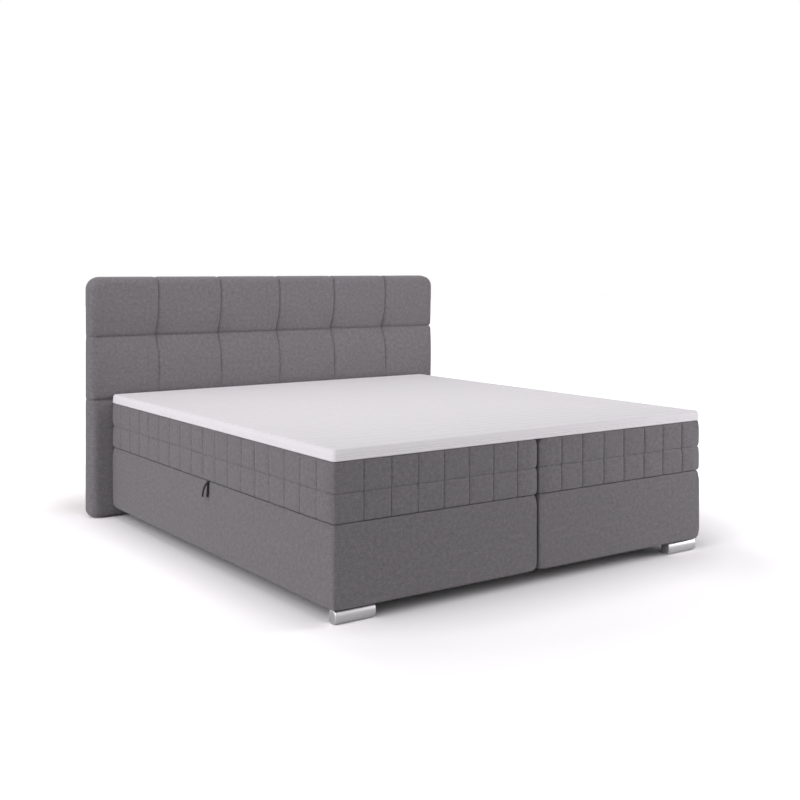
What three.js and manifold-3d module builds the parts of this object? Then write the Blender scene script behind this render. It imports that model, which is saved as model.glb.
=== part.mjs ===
// A box spring bed: two storage boxes side by side, each with a tufted sprung lid that
// opens to its own long side on gas struts, one thin topper over both, and a tufted headboard.
// Millimetres. X runs across the bed, the foot end faces -Y, the headboard stands at +Y, +Z is up.
// The origin lies on the floor under the middle of the whole bed.
import * as THREE from "three";
import { mergeVertices } from "three/addons/utils/BufferGeometryUtils.js";
import Module from "manifold-3d";

const wasm = await Module();
wasm.setup();

// Whole bed
const bedWidth = 1800;
const bedLength = 2000;
const centreGap = 12;
const seat = 0.3;
const runningGap = 0.7;
const lidEndGap = 2;
const cutOverrun = 2;

// Storage boxes
const footHeight = 50;
const boxHeight = 285;
const boxPadding = 12;
const boxCornerRadius = 22;
const boxEdgeRoll = 7;
const boxCrown = 2;
const panelThickness = 16;
const basePanelThickness = 16;

// Tufted lids
const lowerTuftHeight = 100;
const upperTuftHeight = 108;
const tuftDepth = 8;
const tuftsAlong = 18;
const tuftsAcross = 8;
const lidPadding = 14;
const lidCornerRadius = 22;
const lidTopRoll = 20;
const lidTopSkin = 4;
const undersidePanelThickness = 4;
const lidFrameHeight = 90;
const lidRailWidth = 22;
const slatCount = 8;
const slatWidth = 70;
const slatThickness = 18;
const slatTenon = 6;
const springCoreHeight = 92;
const pocketsAlong = 18;
const pocketsAcross = 8;

// Topper
const topperThickness = 42;
const topperEdgeRadius = 12;
const topperCornerRadius = 42;
const foldStripWidth = 104;

// Headboard
const headboardWidth = 1990;
const headboardHeight = 1138;
const headboardThickness = 100;
const headboardFloorGap = 4;
const headboardCornerRadius = 55;
const headboardFrontRoll = 32;
const headboardTuftDepth = 26;
const headboardTuftsAcross = 6;
const upperPillowHeight = 282;
const lowerPillowHeight = 298;
const boardThickness = 28;
const boardEdgeInset = 24;

// Pivot posts and hinge leaves in the gap between the boxes
const pivotBelowLidTop = 20;
const hingeFromEnd = 350;
const knuckleRadius = 5.5;
const pinRadius = 3;
const pinFit = 0.4;
const postKnuckleLength = 40;
const leafKnuckleLength = 30;
const postPlateThickness = 4;
const postBlockWidth = 60;
const postBlockBottom = 128;
const postBlockHeight = 180;
const leafThickness = 3;
const leafTopDrop = 8;
const leafFootRise = 10;

// Gas struts
const strutFootX = 70;
const strutFootZ = 143;
const strutHeadX = 330;
const strutHeadZ = 308;
const strutEyeRadius = 10;
const strutEyeWidth = 10;
const strutTubeRadius = 11;
const strutTubeWall = 2;
const strutTubeStart = 14;
const strutTubeLength = 254;
const strutTubeFloor = 8;
const strutNeckRadius = 5;
const rodRadius = 4;
const rodLength = 280;
const rodCollarRadius = 5;
const rodCollarLength = 22;
const studRadius = 4;
const studFit = 0.3;
const studCollarRadius = 7;
const strutWallGap = 3;
const bracketPlateThickness = 3;
const bracketPlateSize = 50;
const lidBracketLength = 64;
const lidBracketWidth = 28;
const lidBracketTabWidth = 24;

// Feet
const chromeFootLength = 162;
const chromeFootDepth = 48;
const chromeFootInset = 9;
const chromeFootSideInset = 14;
const chromeFootFlat = 16;
const chromeFootTopFlat = 26;
const chromeFootWaistShare = 0.5;
const gliderTopRadius = 30;
const gliderFloorRadius = 23;
const gliderFlange = 6;
const gliderInset = 120;
const bridgeFootLength = 150;
const bridgeFootWidth = 60;
const bridgeFootTaper = 8;
const bridgeFootFromEnd = 190;

// Headboard bolts
const boltRadius = 5;
const boltHeadRadius = 12;
const boltHeadHeight = 7;
const boltHoleFit = 0.4;
const boltFromCentre = 640;
const boltHeight = 218;

// Pull straps
const strapWidth = 16;
const strapFromMiddle = 54;
const strapSteps = 8;
const strapThickness = 3.2;
const strapDrop = 62;
const strapCurl = 26;
const strapStandOff = 2.4;

// Number of straight facets on rounded shapes
const roundSteps = 16;
const eyeSteps = 14;
const pocketSteps = 4;

// Heights and faces that follow from the sizes above
const overallLength = bedLength + seat + headboardThickness;
const footFace = -overallLength / 2;
const headFace = footFace + bedLength;
const boxTop = footHeight + boxHeight;
const lidBottom = boxTop + seat;
const lidHeight = lowerTuftHeight + upperTuftHeight;
const lidTop = lidBottom + lidHeight;
const topperBottom = lidTop + seat;
const pivotHeight = lidTop - pivotBelowLidTop;
const panelInset = boxPadding + seat;
const panelInnerInset = panelInset + panelThickness;
const baseTop = footHeight + basePanelThickness;
const coreInset = lidPadding + seat;
const lidHeadFace = headFace - lidEndGap;
const frameBottom = lidBottom + undersidePanelThickness + seat;
const frameTop = frameBottom + lidFrameHeight;
const springBottom = frameTop + seat;
const springTop = springBottom + springCoreHeight;
const foamBottom = springTop + seat;
const foamTop = lidTop - lidTopSkin - seat;
const left = -1;
const right = 1;

// Materials
function finish(color, roughness, metalness) {
  return () => new THREE.MeshStandardMaterial({ color, roughness, metalness });
}
const greyFabric = finish(0x737276, 0.95, 0);
const whiteFabric = finish(0xe6e5e9, 0.9, 0);
const chrome = finish(0xc4c4c6, 0.22, 1);
const zincSteel = finish(0x9a9c9e, 0.4, 0.9);
const blackPaint = finish(0x1d1d1f, 0.45, 0.3);
const blackPlastic = finish(0x161617, 0.6, 0);
const chipboard = finish(0xb59a72, 0.85, 0);
const hardboard = finish(0x6f5238, 0.8, 0);
const pine = finish(0xcfae78, 0.7, 0);
const foam = finish(0xe9e2c4, 0.95, 0);
const feltPocket = finish(0xd9d9d6, 0.95, 0);
const webbing = finish(0x1b1b1d, 0.85, 0);

// Solids from three.js geometry, for joins and cuts
function toSolid(geometry) {
  const bare = geometry.clone();
  bare.deleteAttribute("normal");
  bare.deleteAttribute("uv");
  const welded = mergeVertices(bare);
  const vertProperties = new Float32Array(welded.attributes.position.array);
  const triVerts = new Uint32Array(welded.index.array);
  return new wasm.Manifold(new wasm.Mesh({ numProp: 3, vertProperties, triVerts }));
}

function toGeometry(solid) {
  const mesh = solid.getMesh();
  const geometry = new THREE.BufferGeometry();
  geometry.setAttribute("position", new THREE.BufferAttribute(mesh.vertProperties, 3));
  geometry.setIndex(new THREE.BufferAttribute(mesh.triVerts, 1));
  return geometry;
}

function joined(...geometries) {
  const solids = geometries.map(toSolid);
  return toGeometry(solids.reduce((whole, part) => whole.add(part)));
}

function cutBy(geometry, ...tools) {
  const start = toSolid(geometry);
  return toGeometry(tools.map(toSolid).reduce((whole, tool) => whole.subtract(tool), start));
}

function sharedBy(geometry, other) {
  return toGeometry(toSolid(geometry).intersect(toSolid(other)));
}

// A straight block between two x, two y and two z places, given in either order
function block([x0, x1], [y0, y1], [z0, z1]) {
  const geometry = new THREE.BoxGeometry(Math.abs(x1 - x0), Math.abs(y1 - y0), Math.abs(z1 - z0));
  return geometry.translate((x0 + x1) / 2, (y0 + y1) / 2, (z0 + z1) / 2);
}

// A round bar along Y between two y places
function barAlongY(radius, x, z, [y0, y1], steps = roundSteps) {
  const geometry = new THREE.CylinderGeometry(radius, radius, Math.abs(y1 - y0), steps);
  return geometry.translate(x, (y0 + y1) / 2, z);
}

// A round bar along X between two x places, on the X axis
function barAlongX(radius, [x0, x1], steps = roundSteps) {
  const geometry = new THREE.CylinderGeometry(radius, radius, Math.abs(x1 - x0), steps);
  return geometry.rotateZ(Math.PI / 2).translate((x0 + x1) / 2, 0, 0);
}

// A closed mesh from points and triangles, turned outward if it came out inside out
function closedMesh(points, faces) {
  const volume = faces.reduce((sum, [a, b, c]) => {
    const [p, q, r] = [points[a], points[b], points[c]].map((v) => new THREE.Vector3(...v));
    return sum + p.dot(q.cross(r));
  }, 0);
  const outward = volume > 0 ? faces : faces.map(([a, b, c]) => [a, c, b]);
  const geometry = new THREE.BufferGeometry();
  geometry.setAttribute("position", new THREE.Float32BufferAttribute(points.flat(), 3));
  geometry.setIndex(outward.flat());
  return geometry;
}

// A skin through a stack of rings with equal point counts, closed by a fan at either end
function skinThroughRings(rings) {
  const count = rings[0].length;
  const points = rings.flat();
  const faces = [];
  for (let ring = 0; ring < rings.length - 1; ring += 1) {
    for (let i = 0; i < count; i += 1) {
      const a = ring * count + i;
      const b = ring * count + ((i + 1) % count);
      faces.push([a, b, b + count], [a, b + count, a + count]);
    }
  }
  const meanOf = (ring) => [0, 1, 2].map((axis) => ring.reduce((sum, p) => sum + p[axis], 0) / count);
  const first = points.push(meanOf(rings[0])) - 1;
  const last = points.push(meanOf(rings[rings.length - 1])) - 1;
  const lastStart = (rings.length - 1) * count;
  for (let i = 0; i < count; i += 1) {
    const next = (i + 1) % count;
    faces.push([first, next, i], [last, lastStart + i, lastStart + next]);
  }
  return closedMesh(points, faces);
}

// The other side's twin of a geometry that lies at negative x
function mirrored(geometry) {
  const twin = geometry.index ? geometry.toNonIndexed() : geometry.clone();
  const place = twin.attributes.position;
  for (let i = 0; i < place.count; i += 3) {
    const [b, c] = [i + 1, i + 2];
    const swap = [place.getX(b), place.getY(b), place.getZ(b)];
    place.setXYZ(b, place.getX(c), place.getY(c), place.getZ(c));
    place.setXYZ(c, ...swap);
  }
  for (let i = 0; i < place.count; i += 1) place.setX(i, -place.getX(i));
  return twin;
}

const onSide = (geometry, side) => (side === left ? geometry : mirrored(geometry));
const acrossHalf = (side, outerInset, innerInset) => [
  side * (bedWidth / 2 - outerInset),
  side * (centreGap / 2 + innerInset),
];

// Points round a rectangle with rounded corners, anticlockwise from the corner at x0, y0.
// Each side may carry tufts: its points then lie at the seams and either side of each crest.
// A point holds its place, its outward normal, its fullness and its square corner's signs.
const tuftShares = [0, 0.25, 0.75];

function outline([x0, x1], [y0, y1], radius, tufts = [0, 0, 0, 0], cornerSteps = 2) {
  const corners = [[x0, y0], [x1, y0], [x1, y1], [x0, y1]];
  const inward = [[1, 1], [-1, 1], [-1, -1], [1, -1]];
  const points = [];
  corners.forEach((corner, k) => {
    const following = corners[(k + 1) % corners.length];
    const [cx, cy] = corner.map((value, axis) => value + inward[k][axis] * radius);
    for (let step = 0; step <= cornerSteps; step += 1) {
      const angle = Math.PI + ((k + step / cornerSteps) * Math.PI) / 2;
      const normal = [Math.cos(angle), Math.sin(angle)];
      const isMiddle = step > 0 && step < cornerSteps;
      const square = isMiddle ? inward[k].map((sign) => -sign) : normal;
      const at = [cx + radius * normal[0], cy + radius * normal[1]];
      points.push({ at, normal, full: 1, square, foot: isMiddle ? corner : at });
    }
    const angle = Math.PI + ((k + 1) * Math.PI) / 2;
    const normal = [Math.cos(angle), Math.sin(angle)];
    for (let cell = 0; cell < tufts[k]; cell += 1) {
      for (const share of tuftShares) {
        if (cell === 0 && share === 0) continue;
        const along = (cell + share) / tufts[k];
        const at = corner.map((value, axis) => value + (following[axis] - value) * along);
        points.push({ at, normal, full: share === 0 ? 0 : 1, square: normal, foot: at });
      }
    }
  });
  return points;
}

// One ring of an outline at a height, drawn in by an inset that may follow the fullness
function ringAt(points, z, insetOf) {
  return points.map(({ at, normal, full }) => {
    const inset = insetOf(full);
    return [at[0] - normal[0] * inset, at[1] - normal[1] * inset, z];
  });
}

// One ring with square corners, for the straight inside of a cover
function squareRingAt(points, z, inset) {
  return points.map(({ foot, square }) => [foot[0] - square[0] * inset, foot[1] - square[1] * inset, z]);
}

// Storage box: a padded fabric ring round four panels that stand on a base panel
function boxCover() {
  const points = outline(acrossHalf(left, 0, 0), [footFace, headFace], boxCornerRadius);
  const quarterRoll = boxEdgeRoll * (1 - Math.SQRT1_2);
  const levels = [
    [boxEdgeRoll, footHeight],
    [quarterRoll, footHeight + quarterRoll],
    [boxCrown / 2, footHeight + boxEdgeRoll * 2],
    [0, footHeight + boxHeight / 2],
    [boxCrown / 2, boxTop - boxEdgeRoll * 2],
    [quarterRoll, boxTop - quarterRoll],
    [boxEdgeRoll, boxTop],
  ];
  const outer = levels.map(([inset, z]) => ringAt(points, z, () => inset));
  const inner = [boxTop, footHeight].map((z) => squareRingAt(points, z, boxPadding));
  return tubeThroughRings([...outer, ...inner]);
}

// A ring-shaped skin: the last ring joins the first again
function tubeThroughRings(rings) {
  const count = rings[0].length;
  const points = rings.flat();
  const faces = [];
  rings.forEach((ring, k) => {
    const nextRing = (k + 1) % rings.length;
    for (let i = 0; i < count; i += 1) {
      const j = (i + 1) % count;
      const [a, b] = [k * count + i, k * count + j];
      const [c, d] = [nextRing * count + j, nextRing * count + i];
      faces.push([a, b, c], [a, c, d]);
    }
  });
  return closedMesh(points, faces);
}

const panelHeights = [baseTop + seat, boxTop];
const boltX = (side) => side * boltFromCentre;
const boltHole = (side, y0, y1) =>
  barAlongY(boltRadius + boltHoleFit, boltX(side), boltHeight, [y0, y1]);

function basePanel(side) {
  const across = acrossHalf(side, panelInset, panelInset);
  return block(across, [footFace + panelInset, headFace - panelInset], [footHeight, baseTop]);
}

function outerPanel(side) {
  const outerX = side * (bedWidth / 2 - panelInset);
  const along = [footFace + panelInset, headFace - panelInset];
  return block([outerX, outerX - side * panelThickness], along, panelHeights);
}

function innerPanel(side) {
  const innerX = side * (centreGap / 2 + panelInset);
  const along = [footFace + panelInset, headFace - panelInset];
  return block([innerX, innerX + side * panelThickness], along, panelHeights);
}

function endPanel(side, face, toMiddle) {
  const across = acrossHalf(side, panelInnerInset + seat, panelInnerInset + seat);
  const near = face + toMiddle * panelInset;
  return block(across, [near, near + toMiddle * panelThickness], panelHeights);
}

// Lid: a tufted cover, open below, over a timber frame, pocket springs and a foam pad.
// The foot face and the outer long side are tufted, the inner side and the head face plain.
function lidCover() {
  const tuftsPerSide = [tuftsAcross, 0, 0, tuftsAlong];
  const points = outline(acrossHalf(left, 0, 0), [footFace, lidHeadFace], lidCornerRadius, tuftsPerSide);
  const drawn = (rowFull) => (full) =>
    tuftDepth * (0.7 * (1 - full * rowFull) + 0.3 * (1 - full) * (1 - rowFull));
  const quarterRoll = lidTopRoll * (1 - Math.SQRT1_2);
  const rollStart = lidTop - lidTopRoll;
  const rows = [[lidBottom, lowerTuftHeight], [lidBottom + lowerTuftHeight, upperTuftHeight]];
  const outer = rows.flatMap(([start, height], row) =>
    tuftShares.slice(0, row === 0 ? 3 : 2).map((share) =>
      ringAt(points, start + height * share, drawn(share === 0 ? 0 : 1))));
  const rolled = [
    ringAt(points, rollStart, drawn(1)),
    ringAt(points, lidTop - quarterRoll, (full) => quarterRoll + drawn(1)(full) / 2),
    ringAt(points, lidTop, () => lidTopRoll),
  ];
  const inner = [lidTop - lidTopSkin, lidBottom].map((z) => squareRingAt(points, z, lidPadding));
  return skinThroughRings([...inner, ...outer, ...rolled]);
}

function lidUnderside(side) {
  const across = acrossHalf(side, coreInset, coreInset);
  const along = [footFace + coreInset, lidHeadFace - coreInset];
  return block(across, along, [lidBottom, lidBottom + undersidePanelThickness]);
}

function lidFrame(side) {
  const [outerX, innerX] = acrossHalf(side, coreInset, coreInset);
  const [y0, y1] = [footFace + coreInset, lidHeadFace - coreInset];
  const heights = [frameBottom, frameTop];
  const outerRail = block([outerX, outerX - side * lidRailWidth], [y0, y1], heights);
  const innerRail = block([innerX, innerX + side * lidRailWidth], [y0, y1], heights);
  const footRail = block([outerX, innerX], [y0, y0 + lidRailWidth], heights);
  const headRail = block([outerX, innerX], [y1 - lidRailWidth, y1], heights);
  const slatEnds = [
    outerX - side * (lidRailWidth - slatTenon),
    innerX + side * (lidRailWidth - slatTenon),
  ];
  const pitch = (y1 - y0) / (slatCount + 1);
  const slats = Array.from({ length: slatCount }, (_, i) => {
    const middle = y0 + pitch * (i + 1);
    return block(slatEnds, [middle - slatWidth / 2, middle + slatWidth / 2], [frameTop - slatThickness, frameTop]);
  });
  return joined(outerRail, innerRail, footRail, headRail, ...slats);
}

// The sewn spring pockets show as a row of half rounds on every side of the core
function springCore(side) {
  const [outerX, innerX] = acrossHalf(side, coreInset, coreInset);
  const [y0, y1] = [footFace + coreInset, lidHeadFace - coreInset];
  const x0 = Math.min(outerX, innerX);
  const pitchX = Math.abs(innerX - outerX) / pocketsAcross;
  const pitchY = (y1 - y0) / pocketsAlong;
  const points = [];
  const addArc = (column, row, startQuarter, quarters) => {
    const steps = (pocketSteps / 2) * quarters;
    for (let i = 0; i < steps; i += 1) {
      const angle = (startQuarter + i / (pocketSteps / 2)) * (Math.PI / 2);
      const x = x0 + pitchX * (column + (1 + Math.cos(angle)) / 2);
      const y = y0 + pitchY * (row + (1 + Math.sin(angle)) / 2);
      points.push(new THREE.Vector2(x, y));
    }
  };
  const [lastColumn, lastRow] = [pocketsAcross - 1, pocketsAlong - 1];
  addArc(0, 0, 1, 3);
  for (let column = 1; column < lastColumn; column += 1) addArc(column, 0, 2, 2);
  addArc(lastColumn, 0, 2, 3);
  for (let row = 1; row < lastRow; row += 1) addArc(lastColumn, row, 3, 2);
  addArc(lastColumn, lastRow, 3, 3);
  for (let column = lastColumn - 1; column > 0; column -= 1) addArc(column, lastRow, 0, 2);
  addArc(0, lastRow, 0, 3);
  for (let row = lastRow - 1; row > 0; row -= 1) addArc(0, row, 1, 2);
  const shape = new THREE.Shape(points);
  const core = new THREE.ExtrudeGeometry(shape, { depth: springCoreHeight, bevelEnabled: false });
  return core.translate(0, 0, springBottom);
}

function foamPad(side) {
  const across = acrossHalf(side, coreInset, coreInset);
  return block(across, [footFace + coreInset, lidHeadFace - coreInset], [foamBottom, foamTop]);
}

// Pull strap: doubled webbing that comes out of the seam and hangs over the box
function pullStrap() {
  const face = -bedWidth / 2;
  const curve = new THREE.CatmullRomCurve3(
    [
      [face + boxEdgeRoll / 2, boxTop + strapThickness * 0.7],
      [face - strapStandOff, boxTop - strapStandOff],
      [face - strapStandOff, boxTop - strapDrop * 0.5],
      [face - strapCurl, boxTop - strapDrop],
    ].map(([x, z]) => new THREE.Vector3(x, z, 0)),
  );
  const [outerEdge, innerEdge] = [[], []];
  for (let i = 0; i <= strapSteps; i += 1) {
    const point = curve.getPoint(i / strapSteps);
    const run = curve.getTangent(i / strapSteps);
    const reach = strapThickness / 2;
    outerEdge.push(new THREE.Vector2(point.x - run.y * reach, point.y + run.x * reach));
    innerEdge.push(new THREE.Vector2(point.x + run.y * reach, point.y - run.x * reach));
  }
  const shape = new THREE.Shape([...outerEdge, ...innerEdge.reverse()]);
  const strap = new THREE.ExtrudeGeometry(shape, { depth: strapWidth, bevelEnabled: false });
  return strap.rotateX(Math.PI / 2).translate(0, strapWidth / 2, 0);
}

// Topper: one thin mattress, which folds along its middle strip
function wholeTopper() {
  const points = outline([-bedWidth / 2, bedWidth / 2], [footFace, lidHeadFace], topperCornerRadius,
    [0, 0, 0, 0], 4);
  const quarterRoll = topperEdgeRadius * (1 - Math.SQRT1_2);
  const levels = [
    [topperEdgeRadius, 0],
    [quarterRoll, quarterRoll],
    [0, topperEdgeRadius],
    [0, topperThickness - topperEdgeRadius],
    [quarterRoll, topperThickness - quarterRoll],
    [topperEdgeRadius, topperThickness],
  ];
  return skinThroughRings(levels.map(([inset, rise]) => ringAt(points, topperBottom + rise, () => inset)));
}

function topperPiece([x0, x1]) {
  const along = [footFace - cutOverrun, headFace + cutOverrun];
  const heights = [topperBottom - cutOverrun, topperBottom + topperThickness + cutOverrun];
  return sharedBy(wholeTopper(), block([x0, x1], along, heights));
}

// Headboard: a padded, tufted case with a pocket in its back for the board
function headboardPad() {
  const halfWidth = headboardWidth / 2;
  const front = headFace + seat;
  const back = front + headboardThickness;
  const [z0, z1] = [headboardFloorGap, headboardHeight];
  const upperSeam = z1 - upperPillowHeight;
  const lowerSeam = upperSeam - lowerPillowHeight;
  const pillowWidth = headboardWidth / headboardTuftsAcross;
  const roll = headboardFrontRoll;
  const cellShares = [0, 0.25, 0.5, 0.75];
  const xLines = [{ at: -halfWidth + roll, full: 1 }];
  for (let cell = 0; cell < headboardTuftsAcross; cell += 1) {
    for (const share of cellShares) {
      if (cell === 0 && share === 0) continue;
      xLines.push({ at: -halfWidth + pillowWidth * (cell + share), full: Math.sin(Math.PI * share) });
    }
  }
  xLines.push({ at: halfWidth - roll, full: 1 });
  const rows = [[lowerSeam, upperSeam], [upperSeam, z1]];
  const zLines = [{ at: z0 + roll, full: 1, tufted: 0 }, { at: (z0 + lowerSeam) / 2, full: 1, tufted: 0 }];
  rows.forEach(([from, to]) => {
    for (const share of cellShares) {
      zLines.push({ at: from + (to - from) * share, full: Math.sin(Math.PI * share), tufted: 1 });
    }
  });
  zLines.push({ at: z1 - roll, full: 1, tufted: 1 });
  return { xLines, zLines, front, back, z0, z1, halfWidth };
}

function paddedHeadboard() {
  const { xLines, zLines, front, back, z0, z1, halfWidth } = headboardPad();
  const [columns, rowCount] = [xLines.length, zLines.length];
  const points = [];
  const faces = [];
  const drawIn = (column, row) => {
    const full = column.full ** 0.6;
    const rowFull = row.full ** 0.6;
    if (!row.tufted) return 0;
    return headboardTuftDepth * (0.55 * (1 - full * rowFull) + 0.45 * (1 - full) * (1 - rowFull));
  };
  zLines.forEach((row) => xLines.forEach((column) => {
    points.push([column.at, front + drawIn(column, row), row.at]);
  }));
  for (let r = 0; r < rowCount - 1; r += 1) {
    for (let c = 0; c < columns - 1; c += 1) {
      const a = r * columns + c;
      faces.push([a, a + 1, a + columns + 1], [a, a + columns + 1, a + columns]);
    }
  }
  const rim = [];
  for (let c = 0; c < columns - 1; c += 1) rim.push(c);
  for (let r = 0; r < rowCount - 1; r += 1) rim.push(r * columns + columns - 1);
  for (let c = columns - 1; c > 0; c -= 1) rim.push((rowCount - 1) * columns + c);
  for (let r = rowCount - 1; r > 0; r -= 1) rim.push(r * columns);
  const quarterRoll = headboardFrontRoll * (1 - Math.SQRT1_2);
  const radius = headboardCornerRadius;
  const rounded = (value, low, high) => Math.min(Math.max(value, low), high);
  const ringPoint = (index, inset, y) => {
    const [x, , z] = points[index];
    const cx = rounded(x, -halfWidth + radius, halfWidth - radius);
    const cz = rounded(z, z0 + radius, z1 - radius);
    const onCorner = x !== cx && z !== cz;
    const reach = radius - inset;
    if (onCorner) {
      const turn = Math.hypot(x - cx, z - cz);
      return [cx + ((x - cx) / turn) * reach, y, cz + ((z - cz) / turn) * reach];
    }
    const isSide = Math.abs(x) > halfWidth - headboardFrontRoll * 1.5;
    if (isSide && z > z0 + headboardFrontRoll && z < z1 - headboardFrontRoll) {
      return [Math.sign(x) * (halfWidth - inset), y, z];
    }
    return [x, y, z > (z0 + z1) / 2 ? z1 - inset : z0 + inset];
  };
  const rings = [
    [quarterRoll, front + quarterRoll],
    [0, front + headboardFrontRoll],
    [0, back],
  ];
  const starts = rings.map(([inset, y]) => {
    const start = points.length;
    rim.forEach((index) => points.push(ringPoint(index, inset, y)));
    return start;
  });
  const count = rim.length;
  const joinLoops = (fromOf, toOf) => {
    for (let i = 0; i < count; i += 1) {
      const j = (i + 1) % count;
      faces.push([fromOf(j), fromOf(i), toOf(i)], [fromOf(j), toOf(i), toOf(j)]);
    }
  };
  joinLoops((i) => rim[i], (i) => starts[0] + i);
  joinLoops((i) => starts[0] + i, (i) => starts[1] + i);
  joinLoops((i) => starts[1] + i, (i) => starts[2] + i);
  const centre = points.push([0, back, (z0 + z1) / 2]) - 1;
  for (let i = 0; i < count; i += 1) {
    faces.push([starts[2] + i, centre, starts[2] + ((i + 1) % count)]);
  }
  const padding = closedMesh(points, faces);
  const pocket = block(boardAcross(boardEdgeInset), [back - boardThickness - seat, back + cutOverrun],
    boardHeights(boardEdgeInset));
  const holes = [left, right].map((side) => boltHole(side, front - cutOverrun, back));
  return cutBy(padding, pocket, ...holes);
}

const boardAcross = (inset) => [-headboardWidth / 2 + inset, headboardWidth / 2 - inset];
const boardHeights = (inset) => [headboardFloorGap + inset, headboardHeight - inset];

function headboardBoard() {
  const back = headFace + seat + headboardThickness;
  const inset = boardEdgeInset + seat;
  const board = block(boardAcross(inset), [back - boardThickness, back], boardHeights(inset));
  const holes = [left, right].map((side) =>
    boltHole(side, back - boardThickness - cutOverrun, back - boardThickness / 4));
  return cutBy(board, ...holes);
}

// Bolts clamp the headboard to the head panel of either box
function headboardBolt(side) {
  const panelFace = headFace - panelInnerInset - seat;
  const tip = headFace + seat + headboardThickness - boardThickness / 3;
  const shank = barAlongY(boltRadius, boltX(side), boltHeight, [panelFace - boltHeadHeight / 2, tip], eyeSteps);
  const head = barAlongY(boltHeadRadius, boltX(side), boltHeight, [panelFace - boltHeadHeight, panelFace], 6);
  return joined(shank, head);
}

// Pivot post: a block clamped between the boxes, a thin plate above it and a knuckle with its pin
function pivotPost() {
  const blockHalf = centreGap / 2 - seat;
  const blockTop = postBlockBottom + postBlockHeight;
  const foot = block([-blockHalf, blockHalf], [-postBlockWidth / 2, postBlockWidth / 2], [postBlockBottom, blockTop]);
  const half = postKnuckleLength / 2;
  const plate = block([-postPlateThickness / 2, postPlateThickness / 2], [-half, half],
    [blockTop - cutOverrun, pivotHeight]);
  const knuckle = barAlongY(knuckleRadius, 0, pivotHeight, [-half, half]);
  const pinEnd = half + leafKnuckleLength + runningGap * 2;
  const pin = barAlongY(pinRadius, 0, pivotHeight, [-pinEnd, pinEnd]);
  return joined(foot, plate, knuckle, pin);
}

// Hinge leaf of the left lid: a plate on the lid's inner side with one knuckle on the pin.
// The right lid's leaf is the same piece turned half round.
function hingeLeaf() {
  const outer = -(centreGap / 2 - seat);
  const inner = outer + leafThickness;
  const knuckleStart = postKnuckleLength / 2 + runningGap;
  const knuckleEnd = knuckleStart + leafKnuckleLength;
  const plate = block([outer, inner], [-knuckleEnd, knuckleEnd], [lidBottom + leafFootRise, pivotHeight - leafTopDrop]);
  const lug = block([outer, inner], [knuckleStart, knuckleEnd], [pivotHeight - leafTopDrop * 2, pivotHeight]);
  const knuckle = barAlongY(knuckleRadius, 0, pivotHeight, [knuckleStart, knuckleEnd]);
  const bore = barAlongY(pinRadius + pinFit, 0, pivotHeight, [knuckleStart - cutOverrun, knuckleEnd + cutOverrun]);
  return cutBy(joined(plate, lug, knuckle), bore);
}

// Gas strut: both halves lie along +X from the foot eye, with the eyes' axes along Y
const strutReach = Math.hypot(strutHeadX - strutFootX, strutHeadZ - strutFootZ);
const strutAngle = Math.atan2(strutHeadZ - strutFootZ, strutHeadX - strutFootX);

function strutCylinder() {
  const half = strutEyeWidth / 2;
  const eye = barAlongY(strutEyeRadius, 0, 0, [-half, half], eyeSteps);
  const neck = barAlongX(strutNeckRadius, [strutEyeRadius / 2, strutTubeStart + cutOverrun]);
  const tubeEnd = strutTubeStart + strutTubeLength;
  const tube = barAlongX(strutTubeRadius, [strutTubeStart, tubeEnd]);
  const bore = barAlongX(strutTubeRadius - strutTubeWall, [strutTubeStart + strutTubeFloor, tubeEnd + cutOverrun]);
  const studHole = barAlongY(studRadius + studFit, 0, 0, [-half - cutOverrun, half + cutOverrun], eyeSteps);
  return cutBy(joined(eye, neck, tube), bore, studHole);
}

function strutRod() {
  const half = strutEyeWidth / 2;
  const eye = barAlongY(strutEyeRadius, strutReach, 0, [-half, half], eyeSteps);
  const rod = barAlongX(rodRadius, [strutReach - rodLength, strutReach - strutEyeRadius / 2]);
  const collar = barAlongX(rodCollarRadius, [strutReach - rodCollarLength, strutReach - strutEyeRadius / 2]);
  const piston = barAlongX(strutTubeRadius - strutTubeWall - seat, [strutReach - rodLength, strutReach - rodLength + strutEyeWidth]);
  return joined(eye, rod, collar, piston);
}

// Steel bracket on a box end panel, with the collared stud that carries the strut's foot eye
const strutStandOff = strutTubeRadius + strutWallGap;

function boxBracket(toMiddle) {
  const half = bracketPlateSize / 2;
  const [near, far] = [toMiddle * seat, toMiddle * (seat + bracketPlateThickness)];
  const plate = block([-half, half], [near, far], [-half, half]);
  const studEnd = toMiddle * (seat + strutStandOff + strutEyeWidth / 2 + runningGap);
  const stud = barAlongY(studRadius, 0, 0, [near, studEnd], eyeSteps);
  const collarEnd = toMiddle * (strutStandOff - strutEyeWidth / 2);
  const collar = barAlongY(studCollarRadius, 0, 0, [near, collarEnd], eyeSteps);
  return joined(plate, stud, collar);
}

// Steel bracket under a lid: a flange on the underside and a tab beside the rod's head eye
function lidBracket(toMiddle) {
  const flangeTop = lidBottom - seat - strutHeadZ;
  const flangeFloor = flangeTop - bracketPlateThickness;
  const tabNear = toMiddle * (seat + strutStandOff + strutEyeWidth / 2 + runningGap);
  const tabFar = tabNear + toMiddle * bracketPlateThickness;
  const flangeFar = tabNear + toMiddle * lidBracketWidth;
  const flange = block([-lidBracketLength / 2, lidBracketLength / 2], [tabNear, flangeFar], [flangeFloor, flangeTop]);
  const tab = block([-lidBracketTabWidth / 2, lidBracketTabWidth / 2], [tabNear, tabFar],
    [-strutEyeRadius, flangeTop - bracketPlateThickness / 2]);
  return joined(flange, tab);
}

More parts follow.
